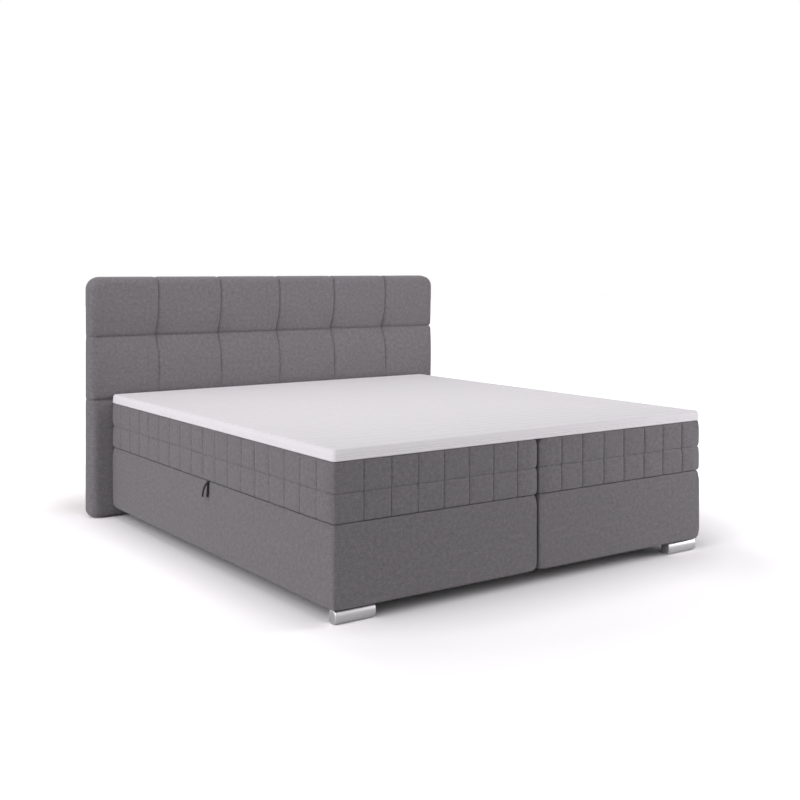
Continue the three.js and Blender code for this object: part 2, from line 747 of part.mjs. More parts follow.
// Chrome foot: a bar along X of a nearly oval section, flat where it meets the box and the floor
function chromeFoot() {
  const shape = new THREE.Shape();
  const [half, flat, topFlat] = [chromeFootDepth / 2, chromeFootFlat / 2, chromeFootTopFlat / 2];
  const top = footHeight - seat;
  const waist = top * chromeFootWaistShare;
  shape.moveTo(flat, 0);
  shape.quadraticCurveTo(half, 0, half, waist);
  shape.quadraticCurveTo(half, top, topFlat, top);
  shape.lineTo(-topFlat, top);
  shape.quadraticCurveTo(-half, top, -half, waist);
  shape.quadraticCurveTo(-half, 0, -flat, 0);
  const bar = new THREE.ExtrudeGeometry(shape, { depth: chromeFootLength, bevelEnabled: false, curveSegments: 6 });
  return bar.rotateX(Math.PI / 2).rotateZ(Math.PI / 2).translate(-chromeFootLength / 2, 0, 0);
}

// Black glide under an outer head corner
function glider() {
  const top = footHeight - seat;
  const profile = [
    [0, 0],
    [gliderFloorRadius, 0],
    [gliderTopRadius - gliderFlange / 2, top - gliderFlange],
    [gliderTopRadius + gliderFlange, top - gliderFlange],
    [gliderTopRadius + gliderFlange, top],
    [0, top],
  ];
  const lathe = new THREE.LatheGeometry(profile.map(([r, z]) => new THREE.Vector2(r, z)), roundSteps);
  return lathe.rotateX(Math.PI / 2);
}

// Black centre foot that bridges the two boxes
function bridgeFoot() {
  const top = footHeight - seat;
  const [half, taper] = [bridgeFootLength / 2, bridgeFootTaper];
  const shape = new THREE.Shape([
    new THREE.Vector2(-half + taper, 0),
    new THREE.Vector2(half - taper, 0),
    new THREE.Vector2(half, top),
    new THREE.Vector2(-half, top),
  ]);
  const foot = new THREE.ExtrudeGeometry(shape, { depth: bridgeFootWidth, bevelEnabled: false });
  return foot.rotateX(Math.PI / 2).translate(0, bridgeFootWidth / 2, 0);
}

const bed = new THREE.Group();

function addPiece(name, geometry, material, [x, y, z] = [0, 0, 0], turnY = 0, turnZ = 0) {
  const mesh = new THREE.Mesh(geometry, material());
  mesh.name = name;
  mesh.position.set(x, y, z);
  mesh.rotation.set(0, turnY, turnZ);
  bed.add(mesh);
}

const halfNames = new Map([[left, "left"], [right, "right"]]);
const ends = [
  { name: "foot", face: footFace, toMiddle: 1 },
  { name: "head", face: headFace, toMiddle: -1 },
];

for (const [side, half] of halfNames) {
  addPiece(`box_base_${half}`, basePanel(side), chipboard);
  addPiece(`box_outer_panel_${half}`, outerPanel(side), chipboard);
  addPiece(`box_inner_panel_${half}`, innerPanel(side), chipboard);
  addPiece(`box_foot_panel_${half}`, endPanel(side, footFace, 1), chipboard);
  const headPanel = cutBy(endPanel(side, headFace, -1), boltHole(side, headFace - panelInnerInset * 2, headFace));
  addPiece(`box_head_panel_${half}`, headPanel, chipboard);
  const boltedCover = cutBy(onSide(boxCover(), side),
    boltHole(side, headFace - boxPadding - cutOverrun, headFace + cutOverrun));
  addPiece(`box_cover_${half}`, boltedCover, greyFabric);

  addPiece(`lid_underside_${half}`, lidUnderside(side), hardboard);
  addPiece(`lid_frame_${half}`, lidFrame(side), pine);
  addPiece(`spring_core_${half}`, springCore(side), feltPocket);
  addPiece(`foam_pad_${half}`, foamPad(side), foam);
  addPiece(`lid_cover_${half}`, onSide(lidCover(), side), greyFabric);
  addPiece(`pull_strap_${half}`, onSide(pullStrap(), side), webbing, [0, (footFace + headFace) / 2 - strapFromMiddle, 0]);

  const topperAcross = [side * (foldStripWidth / 2 + seat), side * (bedWidth / 2 + cutOverrun)];
  addPiece(`topper_${half}`, topperPiece(topperAcross), whiteFabric);
  addPiece(`headboard_bolt_${half}`, headboardBolt(side), zincSteel);

  const footX = side * (bedWidth / 2 - chromeFootSideInset - chromeFootLength / 2);
  const footY = footFace + chromeFootInset + chromeFootDepth / 2;
  addPiece(`chrome_foot_${half}`, chromeFoot(), chrome, [footX, footY, 0]);
  addPiece(`glider_${half}`, glider(), blackPlastic, [side * (bedWidth / 2 - gliderInset), headFace - gliderInset, 0]);

  for (const { name, face, toMiddle } of ends) {
    const hingeY = face + toMiddle * hingeFromEnd;
    addPiece(`hinge_leaf_${name}_${half}`, hingeLeaf(), zincSteel, [0, hingeY, 0], 0, side === left ? 0 : Math.PI);
    const panelFace = face + toMiddle * panelInnerInset;
    const strutY = panelFace + toMiddle * (seat + strutStandOff);
    const turn = side === left ? strutAngle - Math.PI : -strutAngle;
    const footPlace = [side * strutFootX, strutY, strutFootZ];
    addPiece(`strut_cylinder_${name}_${half}`, strutCylinder(), blackPaint, footPlace, turn);
    addPiece(`strut_rod_${name}_${half}`, strutRod(), chrome, footPlace, turn);
    addPiece(`strut_foot_bracket_${name}_${half}`, boxBracket(toMiddle), zincSteel,
      [side * strutFootX, panelFace, strutFootZ]);
    addPiece(`strut_lid_bracket_${name}_${half}`, lidBracket(toMiddle), zincSteel,
      [side * strutHeadX, panelFace, strutHeadZ]);
  }
}

for (const { name, face, toMiddle } of ends) {
  addPiece(`pivot_post_${name}`, pivotPost(), zincSteel, [0, face + toMiddle * hingeFromEnd, 0]);
  addPiece(`bridge_foot_${name}`, bridgeFoot(), blackPlastic, [0, face + toMiddle * bridgeFootFromEnd, 0]);
}

addPiece("topper_fold", topperPiece([-foldStripWidth / 2, foldStripWidth / 2]), whiteFabric);
addPiece("headboard_board", headboardBoard(), chipboard);
addPiece("headboard_pad", paddedHeadboard(), greyFabric);

export default bed;
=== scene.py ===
import bpy
import numpy as np
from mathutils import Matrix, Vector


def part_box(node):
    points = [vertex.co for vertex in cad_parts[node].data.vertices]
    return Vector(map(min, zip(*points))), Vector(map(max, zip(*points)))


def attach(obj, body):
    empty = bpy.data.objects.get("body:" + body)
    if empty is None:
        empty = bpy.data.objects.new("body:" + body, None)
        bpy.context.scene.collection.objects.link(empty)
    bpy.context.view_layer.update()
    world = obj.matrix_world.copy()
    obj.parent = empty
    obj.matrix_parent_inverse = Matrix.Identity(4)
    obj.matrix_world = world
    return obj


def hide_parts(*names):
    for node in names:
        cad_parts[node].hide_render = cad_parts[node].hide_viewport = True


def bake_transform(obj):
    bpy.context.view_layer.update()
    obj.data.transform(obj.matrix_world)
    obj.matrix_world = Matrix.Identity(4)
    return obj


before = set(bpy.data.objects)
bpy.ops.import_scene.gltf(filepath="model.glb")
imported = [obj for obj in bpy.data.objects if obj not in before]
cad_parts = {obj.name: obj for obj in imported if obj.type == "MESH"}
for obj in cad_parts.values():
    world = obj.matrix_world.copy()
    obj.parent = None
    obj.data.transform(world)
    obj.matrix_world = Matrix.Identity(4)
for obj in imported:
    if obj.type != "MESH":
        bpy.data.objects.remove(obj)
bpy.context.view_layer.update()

# Camera
# The bed is seen from its foot end and its left long side, from a little above the bedding.
# The camera is level, and its frame is shifted down so that the uprights stay parallel.
camera_place = (-2.838, -4.2125, 1.181)
camera_turn = -34.886
camera_lens = 50.767
camera_shift = -0.16471
upright = 90.0

camera_data = bpy.data.cameras.new("camera")
camera_data.sensor_width = 36.0
camera_data.lens = camera_lens
camera_data.shift_y = camera_shift
camera = bpy.data.objects.new("camera", camera_data)
camera.location = camera_place
camera.rotation_euler = np.radians((upright, 0.0, camera_turn))
bpy.context.scene.collection.objects.link(camera)
bpy.context.scene.camera = camera


# Room
# A plain white floor under an even white surround. Two weak suns light the bed's left side,
# soft lamps its foot end from the right and its headboard from above. The floor shows as white
# to the camera wherever nothing shades it, more so far from the bed: its seen level is painted,
# with painted shade close round the bed, a painted shadow on the right and painted light
# further out.
def fill(tree, node, inputs):
    """Gives a node's inputs their values; a value that is a socket is linked instead."""
    for name, value in inputs.items():
        if isinstance(value, bpy.types.NodeSocket):
            tree.links.new(value, node.inputs[name])
        else:
            node.inputs[name].default_value = value


def add_node(tree, kind, inputs, **settings):
    """A shader node of that kind, with its settings and inputs; gives its outputs."""
    node = tree.nodes.new("ShaderNode" + kind)
    for setting, value in settings.items():
        setattr(node, setting, value)
    fill(tree, node, inputs)
    return node.outputs


def math_node(tree, operation, *values):
    """A Math node on numbers or sockets; gives its output."""
    return add_node(tree, "Math", dict(enumerate(values)), operation=operation)[0]


def vector_node(tree, operation, *values):
    """A Vector Math node on vectors or sockets; gives its vector and its number."""
    return add_node(tree, "VectorMath", dict(enumerate(values)), operation=operation)


def from_range(tree, value, low, high, start=0.0, end=1.0):
    """A value that runs from start to end made to run from low to high, flat beyond them."""
    sockets = {"Value": value, "From Min": start, "From Max": end, "To Min": low, "To Max": high}
    return add_node(tree, "MapRange", sockets)[0]


def new_material(name):
    """A material with a Principled shader; gives the material and its node tree."""
    material = bpy.data.materials.new(name)
    material.use_nodes = True
    return material, material.node_tree


def shade(tree, inputs):
    """Gives inputs of a material's Principled shader their values or sockets."""
    fill(tree, tree.nodes["Principled BSDF"], inputs)


floor_reach = 30.0
floor_grey = 0.80
floor_painted_shade_near = 1.15
floor_ring_half = (0.86, 1.07)
# Slopes of the seen floor's painted level, which paint light further out and a shadow on the
# right: start, end and the rise from one to the other
floor_ring_slope = (1.03, 1.29, 0.335)
floor_left_slope = (-0.96, -1.26, 0.42)
floor_back_slope = (1.28, 1.80, 0.6)
floor_right_painted_shadow = (0.5, 0.85, -0.15)
floor_side_slope = (1.0, 1.25, 0.28)
floor_far_slope = (1.6, 2.6, 0.66)

floor_mesh = bpy.data.meshes.new("floor")
floor_corners = floor_reach * np.array([(-1, -1, 0), (1, -1, 0), (1, 1, 0), (-1, 1, 0)])
floor_mesh.from_pydata(floor_corners.tolist(), [], [(0, 1, 2, 3)])
floor = bpy.data.objects.new("floor", floor_mesh)
bpy.context.scene.collection.objects.link(floor)

floor_finish, floor_tree = new_material("white floor")
floor_place = add_node(floor_tree, "TexCoord", {})["Object"]
floor_distance = vector_node(floor_tree, "LENGTH", floor_place)["Value"]
floor_x, floor_y = add_node(floor_tree, "SeparateXYZ", {0: floor_place})[:2]

# How far out a place lies: 1 on a ring round the bed, (x / a)^4 + (y / b)^4 = 1
floor_ring_scale = (1 / floor_ring_half[0], 1 / floor_ring_half[1], 0)
floor_power = vector_node(floor_tree, "MULTIPLY", floor_place, floor_ring_scale)[0]
for _ in range(2):
    floor_power = vector_node(floor_tree, "MULTIPLY", floor_power, floor_power)[0]
floor_sum = vector_node(floor_tree, "DOT_PRODUCT", floor_power, (1, 1, 1))["Value"]
floor_ring = math_node(floor_tree, "POWER", floor_sum, 1 / 4)

# The seen floor's painted level: painted shade near the bed, raised by the slopes into painted
# light further out, and lowered by the right one into a painted shadow
floor_seen = floor_painted_shade_near
for value, (start, end, rise) in (
    (floor_ring, floor_ring_slope), (floor_x, floor_left_slope), (floor_y, floor_back_slope),
    (floor_x, floor_right_painted_shadow), (floor_x, floor_side_slope), (floor_distance, floor_far_slope),
):
    slope = from_range(floor_tree, value, 0, rise, start, end)
    floor_seen = math_node(floor_tree, "ADD", floor_seen, slope)
floor_is_seen = add_node(floor_tree, "LightPath", {})["Is Camera Ray"]
shade(floor_tree, {
    "Base Color": from_range(floor_tree, floor_is_seen, floor_grey, floor_seen),
    "Roughness": 0.9, "Specular IOR Level": 0.0,
})
floor_mesh.materials.append(floor_finish)

surround_strength = 0.229
lamp_tint = (1.0, 0.96, 1.0)

surround = bpy.data.worlds.new("surround")
surround.use_nodes = True
bpy.context.scene.world = surround
surround_tree = surround.node_tree
surround_path = add_node(surround_tree, "LightPath", {})
surround_seen = math_node(
    surround_tree, "MAXIMUM", surround_path["Is Camera Ray"], surround_path["Is Glossy Ray"],
)
fill(surround_tree, surround_tree.nodes["Background"], {
    "Color": (1, 1, 1, 1),
    "Strength": from_range(surround_tree, surround_seen, surround_strength, 1.0),
})


def add_light(name, kind, place, aim, **settings):
    """A soft lamp of that kind at a place, turned to face its aim."""
    light_data = bpy.data.lights.new(name, kind)
    for setting, value in settings.items():
        setattr(light_data, setting, value)
    light_data.color = lamp_tint
    light = bpy.data.objects.new(name, light_data)
    light.location = place
    back = Vector(np.subtract(place, aim))
    light.rotation_euler = back.to_track_quat("Z", "Y").to_euler()
    bpy.context.scene.collection.objects.link(light)


sun_spread = 60.0
# Each sun: name, where it shines from, strength
for name, place, strength in (
    ("left sun", (-1.0, 0.25, 0.6), 0.44),
    ("front left sun", (-1.0, -0.35, 0.5), 1.37),
):
    add_light(name, "SUN", place, (0, 0, 0), angle=np.radians(sun_spread), energy=strength)
# Each lamp: name, place, aim, size in metres, power in watts
for name, place, aim, size, power in (
    ("front right lamp", (3.2, -3.0, 1.5), (0.3, -0.4, 0.3), 1.6, 13.0),
    ("right lamp", (4.4, -2.4, 1.55), (0.3, -0.6, 0.3), 1.6, 73.0),
    ("headboard lamp left", (-0.8, -0.9, 2.1), (-0.5, 0.95, 0.8), 1.4, 5.6),
    ("headboard lamp right", (0.7, -0.6, 1.9), (0.4, 0.95, 0.8), 1.2, 1.9),
    ("high lamp left", (-1.1, 0.15, 2.5), (-0.7, 0.95, 0.8), 1.0, 5.7),
    ("high lamp right", (0.5, 0.3, 2.3), (0.4, 0.95, 0.7), 1.0, 0.65),
):
    add_light(name, "AREA", place, aim, size=size, energy=power)


# Storage boxes
# Each half of the bed stands on an open storage box: raw chipboard panels on a base panel,
# wrapped in padded grey upholstery cloth that is pulled over the edges and stapled inside.
def loop_of_rows(rows, columns, close_rows=False):
    """Corner numbers of the quads of a grid whose last column meets its first.

    Row r, column c joins r, c to its neighbours at c + 1 and r + 1. Gives the numbers of
    the points, and those of a cloth map that counts the closing column and row apart.
    """
    steps = rows if close_rows else rows - 1
    r, c = np.meshgrid(np.arange(steps), np.arange(columns), indexing="ij")
    corners = [(r, c), (r, c + 1), (r + 1, c + 1), (r + 1, c)]
    points = [(row % rows) * columns + column % columns for row, column in corners]
    chart = [row * (columns + 1) + column for row, column in corners]
    return np.stack(points, -1).reshape(-1, 4), np.stack(chart, -1).reshape(-1, 4)


def fan(loop, pole):
    """Triangles from each step of a loop of points to one pole."""
    return np.stack([loop, np.roll(loop, -1), np.full_like(loop, pole)], -1)


def capped_rows(rows, poles=None):
    """Places, faces and chart of a tube of rings, closed by a fan to a pole at either end.
    A pole lies in the middle of its ring unless the poles are given."""
    count = rows.shape[1]
    points, chart = loop_of_rows(len(rows), count)
    poles = rows[[0, -1]].mean(1) if poles is None else poles
    places = np.concatenate([rows.reshape(-1, 3), poles])
    ring = np.arange(count)
    first = fan(ring, len(places) - 2)[:, ::-1]
    last = fan(ring + (len(rows) - 1) * count, len(places) - 1)
    return places, [points, first, last], chart


def run_along(points, closed=False):
    """The distance along a line of points at each one and, if closed, back at the first."""
    steps = np.diff(points, axis=0, append=points[:1] if closed else points[:0])
    return np.concatenate([[0], np.cumsum(np.linalg.norm(steps, axis=1))])


def cloth_map(across, along, chart):
    """Places on the cloth of the corners of a grid's faces, from its steps both ways."""
    return np.stack(np.meshgrid(across, along), -1).reshape(-1, 2)[chart]


def add_piece(name, places, faces, finish, body, nodes, chart=None, sharp=None, side=1):
    """A smooth mesh from points and lists of corner numbers, which rides on a body.

    chart holds a place on the cloth, in metres, for each corner of each face. At side -1 the
    mesh is the twin of a left half's: x changes sign and each face turns over.
    """
    if side < 0:
        places = places * (-1, 1, 1)
        faces, chart = ([part[:, ::-1] for part in parts] for parts in (faces, chart))
    rows = [row for part in faces for row in part.tolist()]
    mesh = bpy.data.meshes.new(name)
    mesh.from_pydata(places.tolist(), [], rows)
    mesh.polygons.foreach_set("use_smooth", np.ones(len(rows), bool))
    if chart is not None:
        cloth = mesh.uv_layers.new(name="cloth")
        flat = np.concatenate([part.reshape(-1, 2) for part in chart])
        cloth.uv.foreach_set("vector", flat.astype(np.float32).ravel())
    if sharp is not None:
        mesh.set_sharp_from_angle(angle=np.radians(sharp))
    mesh.materials.append(finish)
    piece = bpy.data.objects.new(name, mesh)
    bpy.context.scene.collection.objects.link(piece)
    if body is not None:
        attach(piece, body)
    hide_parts(*nodes)
    return piece


ripple_lengths = (0.7, 1.5)


def ripple(places, length, seed, count=7):
    """Soft unevenness, mostly from -1 to 1: a sum of sine waves of about one length, in random
    directions and with random starts, divided by the square root of twice their number."""
    draw = np.random.default_rng(seed)
    heading = draw.normal(size=(count, 3))
    heading /= np.linalg.norm(heading, axis=1)[:, None]
    turns = 2 * np.pi / (length * draw.uniform(*ripple_lengths, count))
    start = draw.uniform(0, 2 * np.pi, count)
    waves = np.sin(places @ (heading * turns[:, None]).T + start)
    return waves.sum(-1) / (2 * count) ** 0.5


def fade(distance, width):
    """1 at no distance, falling as a parabola to 0 at the width."""
    return np.clip(1 - distance / width, 0, 1) ** 2


def bell(distance, width):
    """1 at no distance, falling as exp(-(distance / width)^2)."""
    return np.exp(-((distance / width) ** 2))


def full_turn(steps):
    """Angles once round, without the last one that meets the first."""
    return np.linspace(0, 2 * np.pi, steps, endpoint=False)


def superellipse(steps, power):
    """Points once round the curve |a|^p + |b|^p = 1."""
    turn = full_turn(steps)
    ring = np.stack([np.cos(turn), np.sin(turn)], -1)
    return ring / (np.abs(ring) ** power).sum(-1)[:, None] ** (1 / power)


def thinned(lines, gap):
    """Sorted places without those that stand closer than the gap to the one before."""
    return lines[np.concatenate([[True], np.diff(lines) > gap])]


line_gap = 4e-4
line_digits = 5
tufted_turn_reach = 0.07
tuft_numbers = 100


def crease_lines(start, end, seams, offsets):
    """Places of grid lines along a stretch, gathered on both sides of each seam."""
    both = np.concatenate([-offsets[::-1], offsets])
    lines = (np.asarray(seams)[:, None] + both).ravel()
    lines = np.concatenate([[start, end], lines[(lines > start) & (lines < end)]])
    return thinned(np.unique(np.round(lines, line_digits)), line_gap)


def wrapped_outline(low, high, radius, tufted, offsets, corner_steps=8, plain_steps=40):
    """The path round a half of the bed, anticlockwise from the outer foot corner.

    A straight side lies on the half's own edge; a corner is a quarter circle of the
    radius. tufted holds the upright seams of each side, as distances from the side's start.
    Gives, for each point: its place on the rounded outline, its outward normal, its place
    on the square outline, its distance from the nearest seam and corner, its share of the
    tuft that it lies in, the number of that tuft, how much its side is tufted, and, as run,
    its distance along the path.
    """
    corners = np.array([(low[0], low[1]), (high[0], low[1]), (high[0], high[1]), (low[0], high[1])])
    parts = []
    for side, seams in enumerate(tufted):
        start, end = corners[side], corners[(side + 1) % len(corners)]
        length = np.abs(end - start).sum()
        run = (end - start) / length
        outward = np.array((run[1], -run[0]))
        before = len(tufted[side - 1]) > 0
        after = len(tufted[(side + 1) % len(tufted)]) > 0

        turn = np.linspace(-np.pi / 2, 0, corner_steps, endpoint=False)[1:]
        normal = np.cos(turn)[:, None] * outward + np.sin(turn)[:, None] * run
        centre = start + radius * (run - outward)
        parts.append({
            "at": centre + radius * normal, "normal": normal,
            "square": centre + radius * normal / np.abs(normal).max(1)[:, None],
            "seam": np.full(len(turn), length), "corner": radius * np.abs(turn + np.pi / 4),
            "share": np.zeros(len(turn)), "tuft": np.full(len(turn), -1),
            "full": np.full(len(turn), float(before or len(seams) > 0)),
        })

        bounds = np.concatenate([[0], seams, [length]])
        if len(seams):
            middles = (bounds[:-1] + bounds[1:]) / 2
            along = crease_lines(radius, length - radius, seams, offsets)
            along = np.unique(np.concatenate([along, middles]))
            nearest = np.abs(along[:, None] - seams).min(1)
            full = np.ones(len(along))
        else:
            near_start = radius + offsets
            along = np.concatenate([
                np.linspace(radius, length - radius, plain_steps), near_start,
                length - near_start,
            ])
            along = np.unique(np.round(along, line_digits))
            nearest = np.full(len(along), length)
            full = before * fade(along, tufted_turn_reach)
            full = full + after * fade(length - along, tufted_turn_reach)
        at = start + along[:, None] * run
        cell = np.searchsorted(seams, along)
        ends = np.minimum(along, length - along)
        parts.append({
            "at": at, "normal": np.tile(outward, (len(along), 1)), "square": at,
            "seam": nearest, "corner": ends - radius + radius * np.pi / 4,
            "share": (along - bounds[cell]) / (bounds[cell + 1] - bounds[cell]),
            "tuft": tuft_numbers * side + cell, "full": full,
        })
    path = {key: np.concatenate([part[key] for part in parts]) for key in parts[0]}
    path["run"] = run_along(path["at"], closed=True)
    return path


def ring_places(path, inset, height):
    """Rings of points round an outline, drawn in along its normals. inset and height are
    arrays of rows by points, or of rows by one."""
    inset, height = np.broadcast_arrays(inset, height)
    shape = (inset.shape[0], len(path["at"]))
    inset = np.broadcast_to(inset, shape)
    across = path["at"][None] - path["normal"][None] * inset[..., None]
    return np.concatenate([across, np.broadcast_to(height, shape)[..., None]], -1)


def square_places(path, low, high, inset, height):
    """Rings of points with square corners, for the straight inside of a cover."""
    inner = np.clip(path["square"], np.array(low[:2]) + inset, np.array(high[:2]) - inset)
    rows = [np.concatenate([inner, np.full((len(inner), 1), z)], 1) for z in height]
    return np.stack(rows)


# Upholstery cloth
# A soft plain weave of thick grey yarns in three shades, on both boxes, both lids and the
# headboard. Behind it stand the boxes' panels of raw chipboard.
yarn_pitch = 0.0016
cloth_dark = (0.122, 0.1175, 0.122, 1)
cloth_mid = (0.1955, 0.1885, 0.1955, 1)
cloth_light = (0.293, 0.282, 0.293, 1)
shade_places = (0.34, 0.5, 0.68)
fleck_share = 0.27
mottle_share = 0.45


def noise(tree, place, scale=1.0, detail=2.0, roughness=0.5):
    """Noise at a place; gives its factor, from 0 to 1."""
    sockets = {"Vector": place, "Scale": scale, "Detail": detail, "Roughness": roughness}
    return add_node(tree, "TexNoise", sockets)[0]


def ramp(tree, factor, *stops):
    """Colours along a factor. A stop is a place and its colour."""
    node = tree.nodes.new("ShaderNodeValToRGB")
    elements = node.color_ramp.elements
    for element, stop in zip(elements, (stops[0], stops[-1])):
        element.position, element.color = stop
    for place, colour in stops[1:-1]:
        elements.new(place).color = colour
    fill(tree, node, {0: factor})
    return node.outputs[0]


def bump(tree, height, distance, strength):
    """The normal of a surface with a height of a distance."""
    sockets = {"Height": height, "Distance": distance, "Strength": strength}
    return add_node(tree, "Bump", sockets)[0]


# Plain weave: warp and weft yarns of one pitch cross over and under each other.
# Over and under follow the sign of sin(u) sin(v), and a yarn's height is a rounded rib.
weave = bpy.data.node_groups.new("plain weave", "ShaderNodeTree")
weave_pitch = weave.interface.new_socket("Pitch", in_out="INPUT", socket_type="NodeSocketFloat")
weave_pitch.default_value = yarn_pitch
for output in ("Fleck", "Mottle", "Cloud", "Height"):
    weave.interface.new_socket(output, in_out="OUTPUT", socket_type="NodeSocketFloat")
pitch = weave.nodes.new("NodeGroupInput").outputs["Pitch"]
weave_map = add_node(weave, "UVMap", {}, uv_map="cloth")[0]
weave_u, weave_v = add_node(weave, "SeparateXYZ", {0: weave_map})[:2]
warp_turn = math_node(weave, "DIVIDE", weave_u, pitch)
weft_turn = math_node(weave, "DIVIDE", weave_v, pitch)
warp_wave = math_node(weave, "SINE", math_node(weave, "MULTIPLY", warp_turn, np.pi))
weft_wave = math_node(weave, "SINE", math_node(weave, "MULTIPLY", weft_turn, np.pi))
over = math_node(weave, "MULTIPLY", warp_wave, weft_wave)
is_warp = math_node(weave, "GREATER_THAN", over, 0.0)
is_weft = math_node(weave, "SUBTRACT", 1.0, is_warp)
rib_power = 0.5
streak_stretch = 0.12
streak_scale = 1.7


def yarn_streaks(turn_along, turn_across, is_over):
    """Colour of one set of yarns where it lies over the other: it changes slowly along a
    yarn and freely across them."""
    along = math_node(weave, "MULTIPLY", turn_along, streak_stretch)
    across = math_node(weave, "FLOOR", turn_across)
    place = add_node(weave, "CombineXYZ", {0: along, 1: across})[0]
    streaks = noise(weave, place, scale=streak_scale, detail=1.0)
    return math_node(weave, "MULTIPLY", streaks, is_over)


warp_streak = yarn_streaks(weft_turn, warp_turn, is_warp)
weft_streak = yarn_streaks(warp_turn, weft_turn, is_weft)
fill(weave, weave.nodes.new("NodeGroupOutput"), {
    "Fleck": math_node(weave, "ADD", warp_streak, weft_streak),
    "Mottle": noise(weave, weave_map, scale=230.0, detail=3.0, roughness=0.65),
    "Cloud": noise(weave, weave_map, scale=62.0, detail=3.0, roughness=0.6),
    "Height": math_node(weave, "POWER", math_node(weave, "ABSOLUTE", over), rib_power),
})


def woven_cloth(name, shades, pitch, depth, roughness, sheen):
    """A woven upholstery cloth of three yarn shades, with ribs in its normal."""
    material, tree = new_material(name)
    cloth = add_node(tree, "Group", {"Pitch": pitch}, node_tree=weave)
    cloud_share = 1 - fleck_share - mottle_share
    tone = math_node(tree, "MULTIPLY", cloth["Cloud"], cloud_share)
    tone = math_node(tree, "MULTIPLY_ADD", cloth["Mottle"], mottle_share, tone)
    tone = math_node(tree, "MULTIPLY_ADD", cloth["Fleck"], fleck_share, tone)
    height = math_node(tree, "ADD", cloth["Height"], cloth["Mottle"])
    shade(tree, {
        "Base Color": ramp(tree, tone, *zip(shade_places, shades)),
        "Normal": bump(tree, height, depth, strength=0.6),
        "Roughness": roughness, "Specular IOR Level": 0.2,
        "Sheen Weight": sheen, "Sheen Roughness": 0.5,
    })
    return material


grey_cloth = woven_cloth(
    "grey upholstery cloth", (cloth_dark, cloth_mid, cloth_light), yarn_pitch,
    depth=0.0004, roughness=0.9, sheen=0.25,
)


def object_place(tree, stretch=(1, 1, 1)):
    """Places on the object in metres, times the stretch."""
    place = add_node(tree, "TexCoord", {})["Object"]
    return add_node(tree, "Mapping", {"Vector": place, "Scale": stretch})[0]


# Chipboard: pressed flakes of pale and brown wood
chip_dust_share = 0.5
chipboard, chip_tree = new_material("raw chipboard")
chip_place = object_place(chip_tree)
chip_sockets = {"Vector": chip_place, "Scale": 320.0, "Randomness": 1.0}
chip_flakes = add_node(chip_tree, "TexVoronoi", chip_sockets, feature="F1")["Color"]
chip_dust = noise(chip_tree, chip_place, scale=90.0, detail=6.0)
chip_sockets = {0: chip_dust_share, 2: chip_flakes, 3: chip_dust}
chip_mix = add_node(chip_tree, "Mix", chip_sockets, data_type="FLOAT")[0]
chip_shades = ((0, (0.20, 0.155, 0.105, 1)), (1, (0.47, 0.39, 0.29, 1)))
shade(chip_tree, {
    "Base Color": ramp(chip_tree, chip_mix, *chip_shades),
    "Normal": bump(chip_tree, chip_mix, distance=0.0004, strength=0.4),
    "Roughness": 0.75,
})


def mix(tree, share, first, second):
    """The first colour, turned into the second one by a share."""
    return add_node(tree, "Mix", {0: share, 6: first, 7: second}, data_type="RGBA")[2]


def refinish(material, *names):
    """Gives CAD nodes a material in place of their plain colour."""
    for name in names:
        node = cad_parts[name]
        node.data.materials.clear()
        node.data.materials.append(material)


# Base panel: the same board, with a dark dust cloth stapled to its underside. Its dark colour
# on the faces that look down is also painted shade under the box.
dust_cloth_and_shade_colour = (0.03, 0.03, 0.032, 1)
dust_cloth_and_shade_facing = -0.5
base_finish = chipboard.copy()
base_finish.name = "chipboard with a dust cloth and painted shade"
base_tree = base_finish.node_tree
base_board = base_tree.nodes["Principled BSDF"].inputs["Base Color"].links[0].from_socket
base_normal = add_node(base_tree, "NewGeometry", {})["Normal"]
base_up = add_node(base_tree, "SeparateXYZ", {0: base_normal})[2]
base_is_under = math_node(base_tree, "LESS_THAN", base_up, dust_cloth_and_shade_facing)
shade(base_tree, {"Base Color": mix(base_tree, base_is_under, base_board, dust_cloth_and_shade_colour)})

halves = {"left": 1, "right": -1}
for half in halves:
    refinish(base_finish, f"box_base_{half}")
    panels = (f"box_{panel}_panel_{half}" for panel in ("outer", "inner", "foot", "head"))
    refinish(chipboard, *panels)

box_corner_radius = 0.009
box_padding = 0.012
box_top_roll = 0.0045
box_floor_roll = 0.012
box_corner_pull = 0.008
box_corner_reach = 0.045
box_corner_width = 0.034
box_slack = 0.0012
cloth_gap = 0.0008
roll_steps = 6
box_wall_lines = 26
box_slack_length = 0.34
box_side_lines = 90
box_corner_lines = 10
plain_offsets = np.array([0.0, 0.004, 0.008, 0.014, 0.022, 0.032, 0.046])


def roll_rows(radius, turns):
    """Inset and rise of a quarter round: radius (1 - cos t) in and radius sin t up."""
    return radius * (1 - np.cos(turns)), radius * np.sin(turns)


